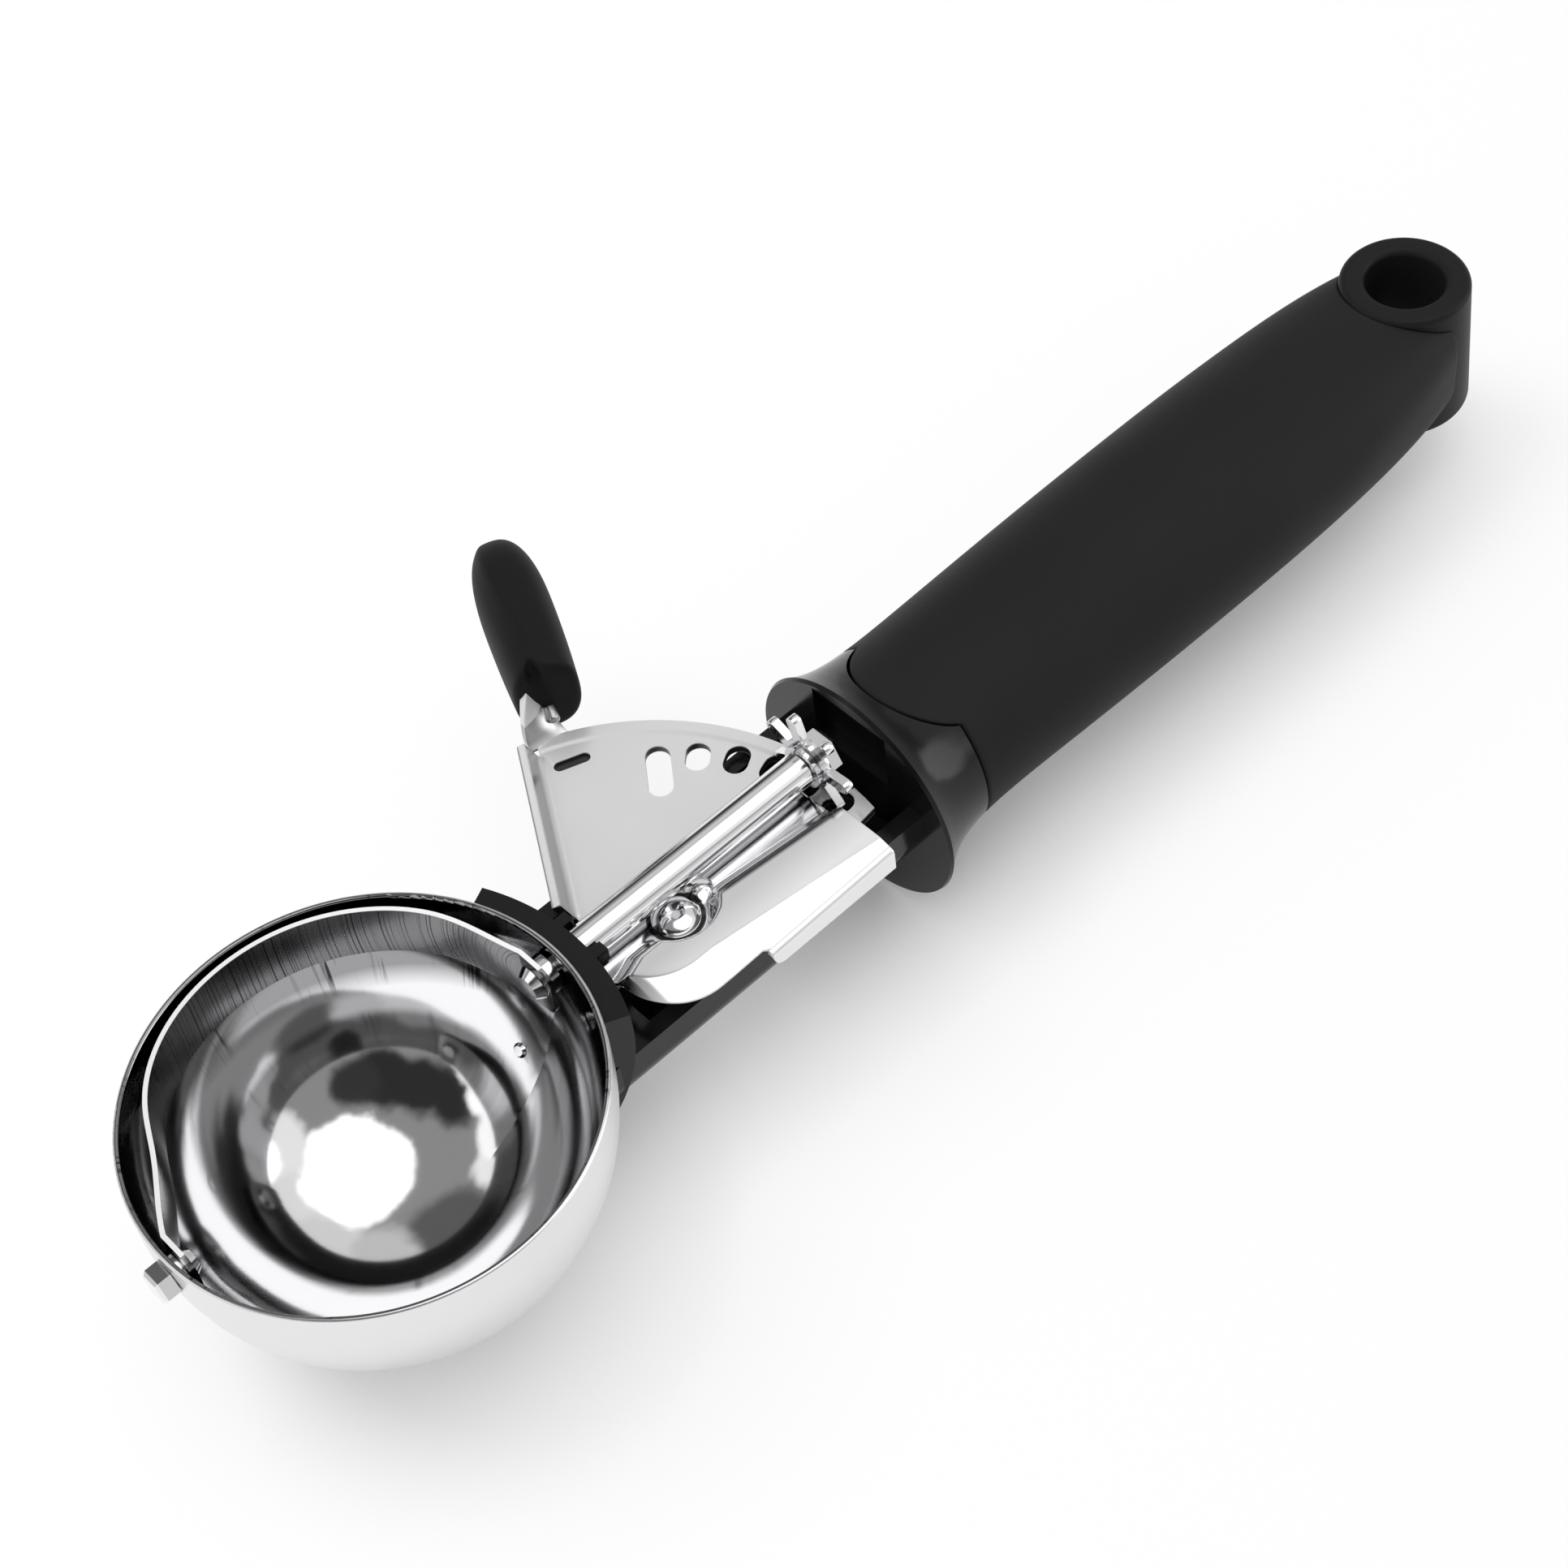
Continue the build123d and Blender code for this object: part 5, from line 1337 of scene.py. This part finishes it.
class SCOOP_OT_stage(bpy.types.Operator):
    """Lay the floor and set the light, the world and the camera"""

    bl_idname = "scoop.stage"
    bl_label = "Stage"

    def execute(self, context):
        scene = context.scene
        scene.view_settings.view_transform = "Standard"
        floor_half = 3.0
        floor_gap = 0.05 * MM
        bm = bmesh.new()
        bmesh.ops.create_grid(bm, x_segments=2, y_segments=2, size=floor_half)
        bmesh.ops.translate(bm, vec=(0, 0, CAD_LOW.z - floor_gap), verts=bm.verts[:])
        mesh = bpy.data.meshes.new("floor")
        bm.to_mesh(mesh)
        bm.free()
        floor = bpy.data.objects.new("floor", mesh)
        mesh.materials.append(floor_white(scene.scoop_colours.floor_white))
        scene.collection.objects.link(floor)
        middle = (CAD_LOW + CAD_HIGH) / 2
        lamps = (
            ("key_light", Vector((-0.28, 0.42, 0.80)), 0.60, 3.6),
            ("overhead_light", Vector((0.05, 0.05, 1.00)), 1.10, 2.8),
        )
        for name, offset, size, power in lamps:
            lamp = bpy.data.lights.new(name, "AREA")
            lamp.shape = "DISK"
            lamp.size = size
            lamp.energy = power
            holder = bpy.data.objects.new(name, lamp)
            holder.location = middle + offset
            holder.rotation_euler = (-offset).to_track_quat("-Z", "Y").to_euler()
            holder.visible_glossy = False
            scene.collection.objects.link(holder)
        scene.world = studio_world()
        view = scene.scoop_view
        back = toward(view.azimuth, view.elevation)
        right = Vector((-sin(view.azimuth), cos(view.azimuth), 0.0))
        up = back.cross(right)
        turned_right = cos(view.roll) * right + sin(view.roll) * up
        turned_up = cos(view.roll) * up - sin(view.roll) * right
        lens = bpy.data.cameras.new("camera")
        lens.lens = view.lens
        lens.sensor_width = SENSOR_WIDTH
        lens.clip_start = 0.01
        camera = bpy.data.objects.new("camera", lens)
        turn = Matrix((turned_right, turned_up, back)).transposed().to_4x4()
        camera.matrix_world = Matrix.Translation(Vector(view.target) + back * view.distance) @ turn
        scene.collection.objects.link(camera)
        scene.camera = camera
        return {"FINISHED"}


WHITE = (1.0, 1.0, 1.0, 1.0)
SOFT_LEVEL = 0.60
ROOM_SWAY = 0.24
ROOM_HIGH = 0.30
ROOM_HORIZON = 0.66
# Azimuth, elevation, half angle of the full patch, half angle where it has faded out, and brightness
ROOM_PATCHES = (
    (90.0, 52.0, 14.0, 22.0, 0.12),
    (-174.0, 44.0, 9.0, 16.0, 0.03),
    (-150.0, 42.0, 11.0, 18.0, 0.03),
    (-128.0, 40.0, 11.0, 18.0, 0.03),
    (-110.0, 37.0, 8.0, 15.0, 0.04),
    (67.0, 21.0, 9.0, 14.0, 0.05),
    (10.0, 48.0, 13.0, 21.0, 0.75),
    (-28.0, 46.0, 12.0, 19.0, 0.85),
    (47.0, 52.0, 10.0, 17.0, 0.62),
    (-55.0, 71.0, 26.0, 30.0, 1.5),
    (-52.0, 31.0, 11.0, 17.0, 0.95),
    (133.0, 42.0, 7.0, 12.0, 1.0),
    (149.0, 35.0, 10.0, 15.0, 1.2),
    (167.0, 27.0, 10.0, 15.0, 1.3),
    (184.0, 23.0, 8.0, 13.0, 1.1),
    (-38.0, 14.0, 13.0, 22.0, 3.0),
)


def studio_world():
    """White to the camera, soft light to plain surfaces, and to metal a grey room with patches."""
    world = bpy.data.worlds.new("studio")
    world.use_nodes = True
    tree = world.node_tree
    backdrop = tree.nodes["Background"]
    backdrop.inputs["Color"].default_value = WHITE
    backdrop.inputs["Strength"].default_value = 1.0
    facing = add_node(tree, "TexCoord", {}).outputs["Generated"]
    ripple = add_node(tree, "TexNoise", {"Vector": facing, "Scale": 3.4, "Detail": 3.0}).outputs["Color"]
    sway = vector_sum(tree, "MULTIPLY_ADD", ripple, [ROOM_SWAY] * 3, [-ROOM_SWAY / 2] * 3)
    bent = vector_sum(tree, "NORMALIZE", vector_sum(tree, "ADD", facing, sway))
    wall_foot = sin(radians(9))
    wall_head = sin(radians(25))
    room = ramp(tree, axes(tree, bent)["Z"], wall_foot, wall_head, ROOM_HORIZON, ROOM_HIGH, "SMOOTHSTEP")
    for azimuth, elevation, core, rim, level in ROOM_PATCHES:
        nearness = vector_sum(tree, "DOT_PRODUCT", bent, toward(radians(azimuth), radians(elevation)))
        inside = ramp(tree, nearness, cos(radians(rim)), cos(radians(core)), kind="SMOOTHSTEP")
        room = blend(tree, inside, room, (level, level, level, 1.0))
    shown = add_node(tree, "Background", {"Color": room}).outputs["Background"]
    soft = add_node(tree, "Background", {"Color": WHITE, "Strength": SOFT_LEVEL}).outputs["Background"]
    rays = add_node(tree, "LightPath", {}).outputs
    shiny = add_node(tree, "MixShader", {0: rays["Is Glossy Ray"], 1: soft, 2: shown}).outputs["Shader"]
    plain = backdrop.outputs["Background"]
    seen = add_node(tree, "MixShader", {0: rays["Is Camera Ray"], 1: shiny, 2: plain})
    tree.links.new(seen.outputs["Shader"], tree.nodes["World Output"].inputs["Surface"])
    return world


class SCOOP_PT_panel(bpy.types.Panel):
    """Lists the steps that dress the scoop"""

    bl_idname = "SCOOP_PT_panel"
    bl_label = "Scoop"
    bl_space_type = "VIEW_3D"
    bl_region_type = "UI"
    bl_category = "Scoop"

    def draw(self, context):
        for step in STEPS:
            self.layout.operator(step.bl_idname)


STEPS = (
    SCOOP_OT_bowl,
    SCOOP_OT_blade,
    SCOOP_OT_pinion,
    SCOOP_OT_cover_plate,
    SCOOP_OT_sector,
    SCOOP_OT_thumb_pad,
    SCOOP_OT_spring,
    SCOOP_OT_neck,
    SCOOP_OT_grip,
    SCOOP_OT_hang_eye,
    SCOOP_OT_stage,
)
GROUPS = (ScoopSizes, ScoopColours, ScoopView)


def register():
    """Register the properties, the steps and the panel."""
    for group in GROUPS + STEPS + (SCOOP_PT_panel,):
        bpy.utils.register_class(group)
    bpy.types.Scene.scoop_sizes = PointerProperty(type=ScoopSizes)
    bpy.types.Scene.scoop_colours = PointerProperty(type=ScoopColours)
    bpy.types.Scene.scoop_view = PointerProperty(type=ScoopView)


def unregister():
    """Undo register."""
    del bpy.types.Scene.scoop_view
    del bpy.types.Scene.scoop_colours
    del bpy.types.Scene.scoop_sizes
    for group in reversed(GROUPS + STEPS + (SCOOP_PT_panel,)):
        bpy.utils.unregister_class(group)


def main():
    """Dress the whole scoop."""
    register()
    bpy.ops.scoop.bowl()
    bpy.ops.scoop.blade()
    bpy.ops.scoop.pinion()
    bpy.ops.scoop.cover_plate()
    bpy.ops.scoop.sector()
    bpy.ops.scoop.thumb_pad()
    bpy.ops.scoop.spring()
    bpy.ops.scoop.neck()
    bpy.ops.scoop.grip()
    bpy.ops.scoop.hang_eye()
    bpy.ops.scoop.stage()


if __name__ == "__main__":
    main()
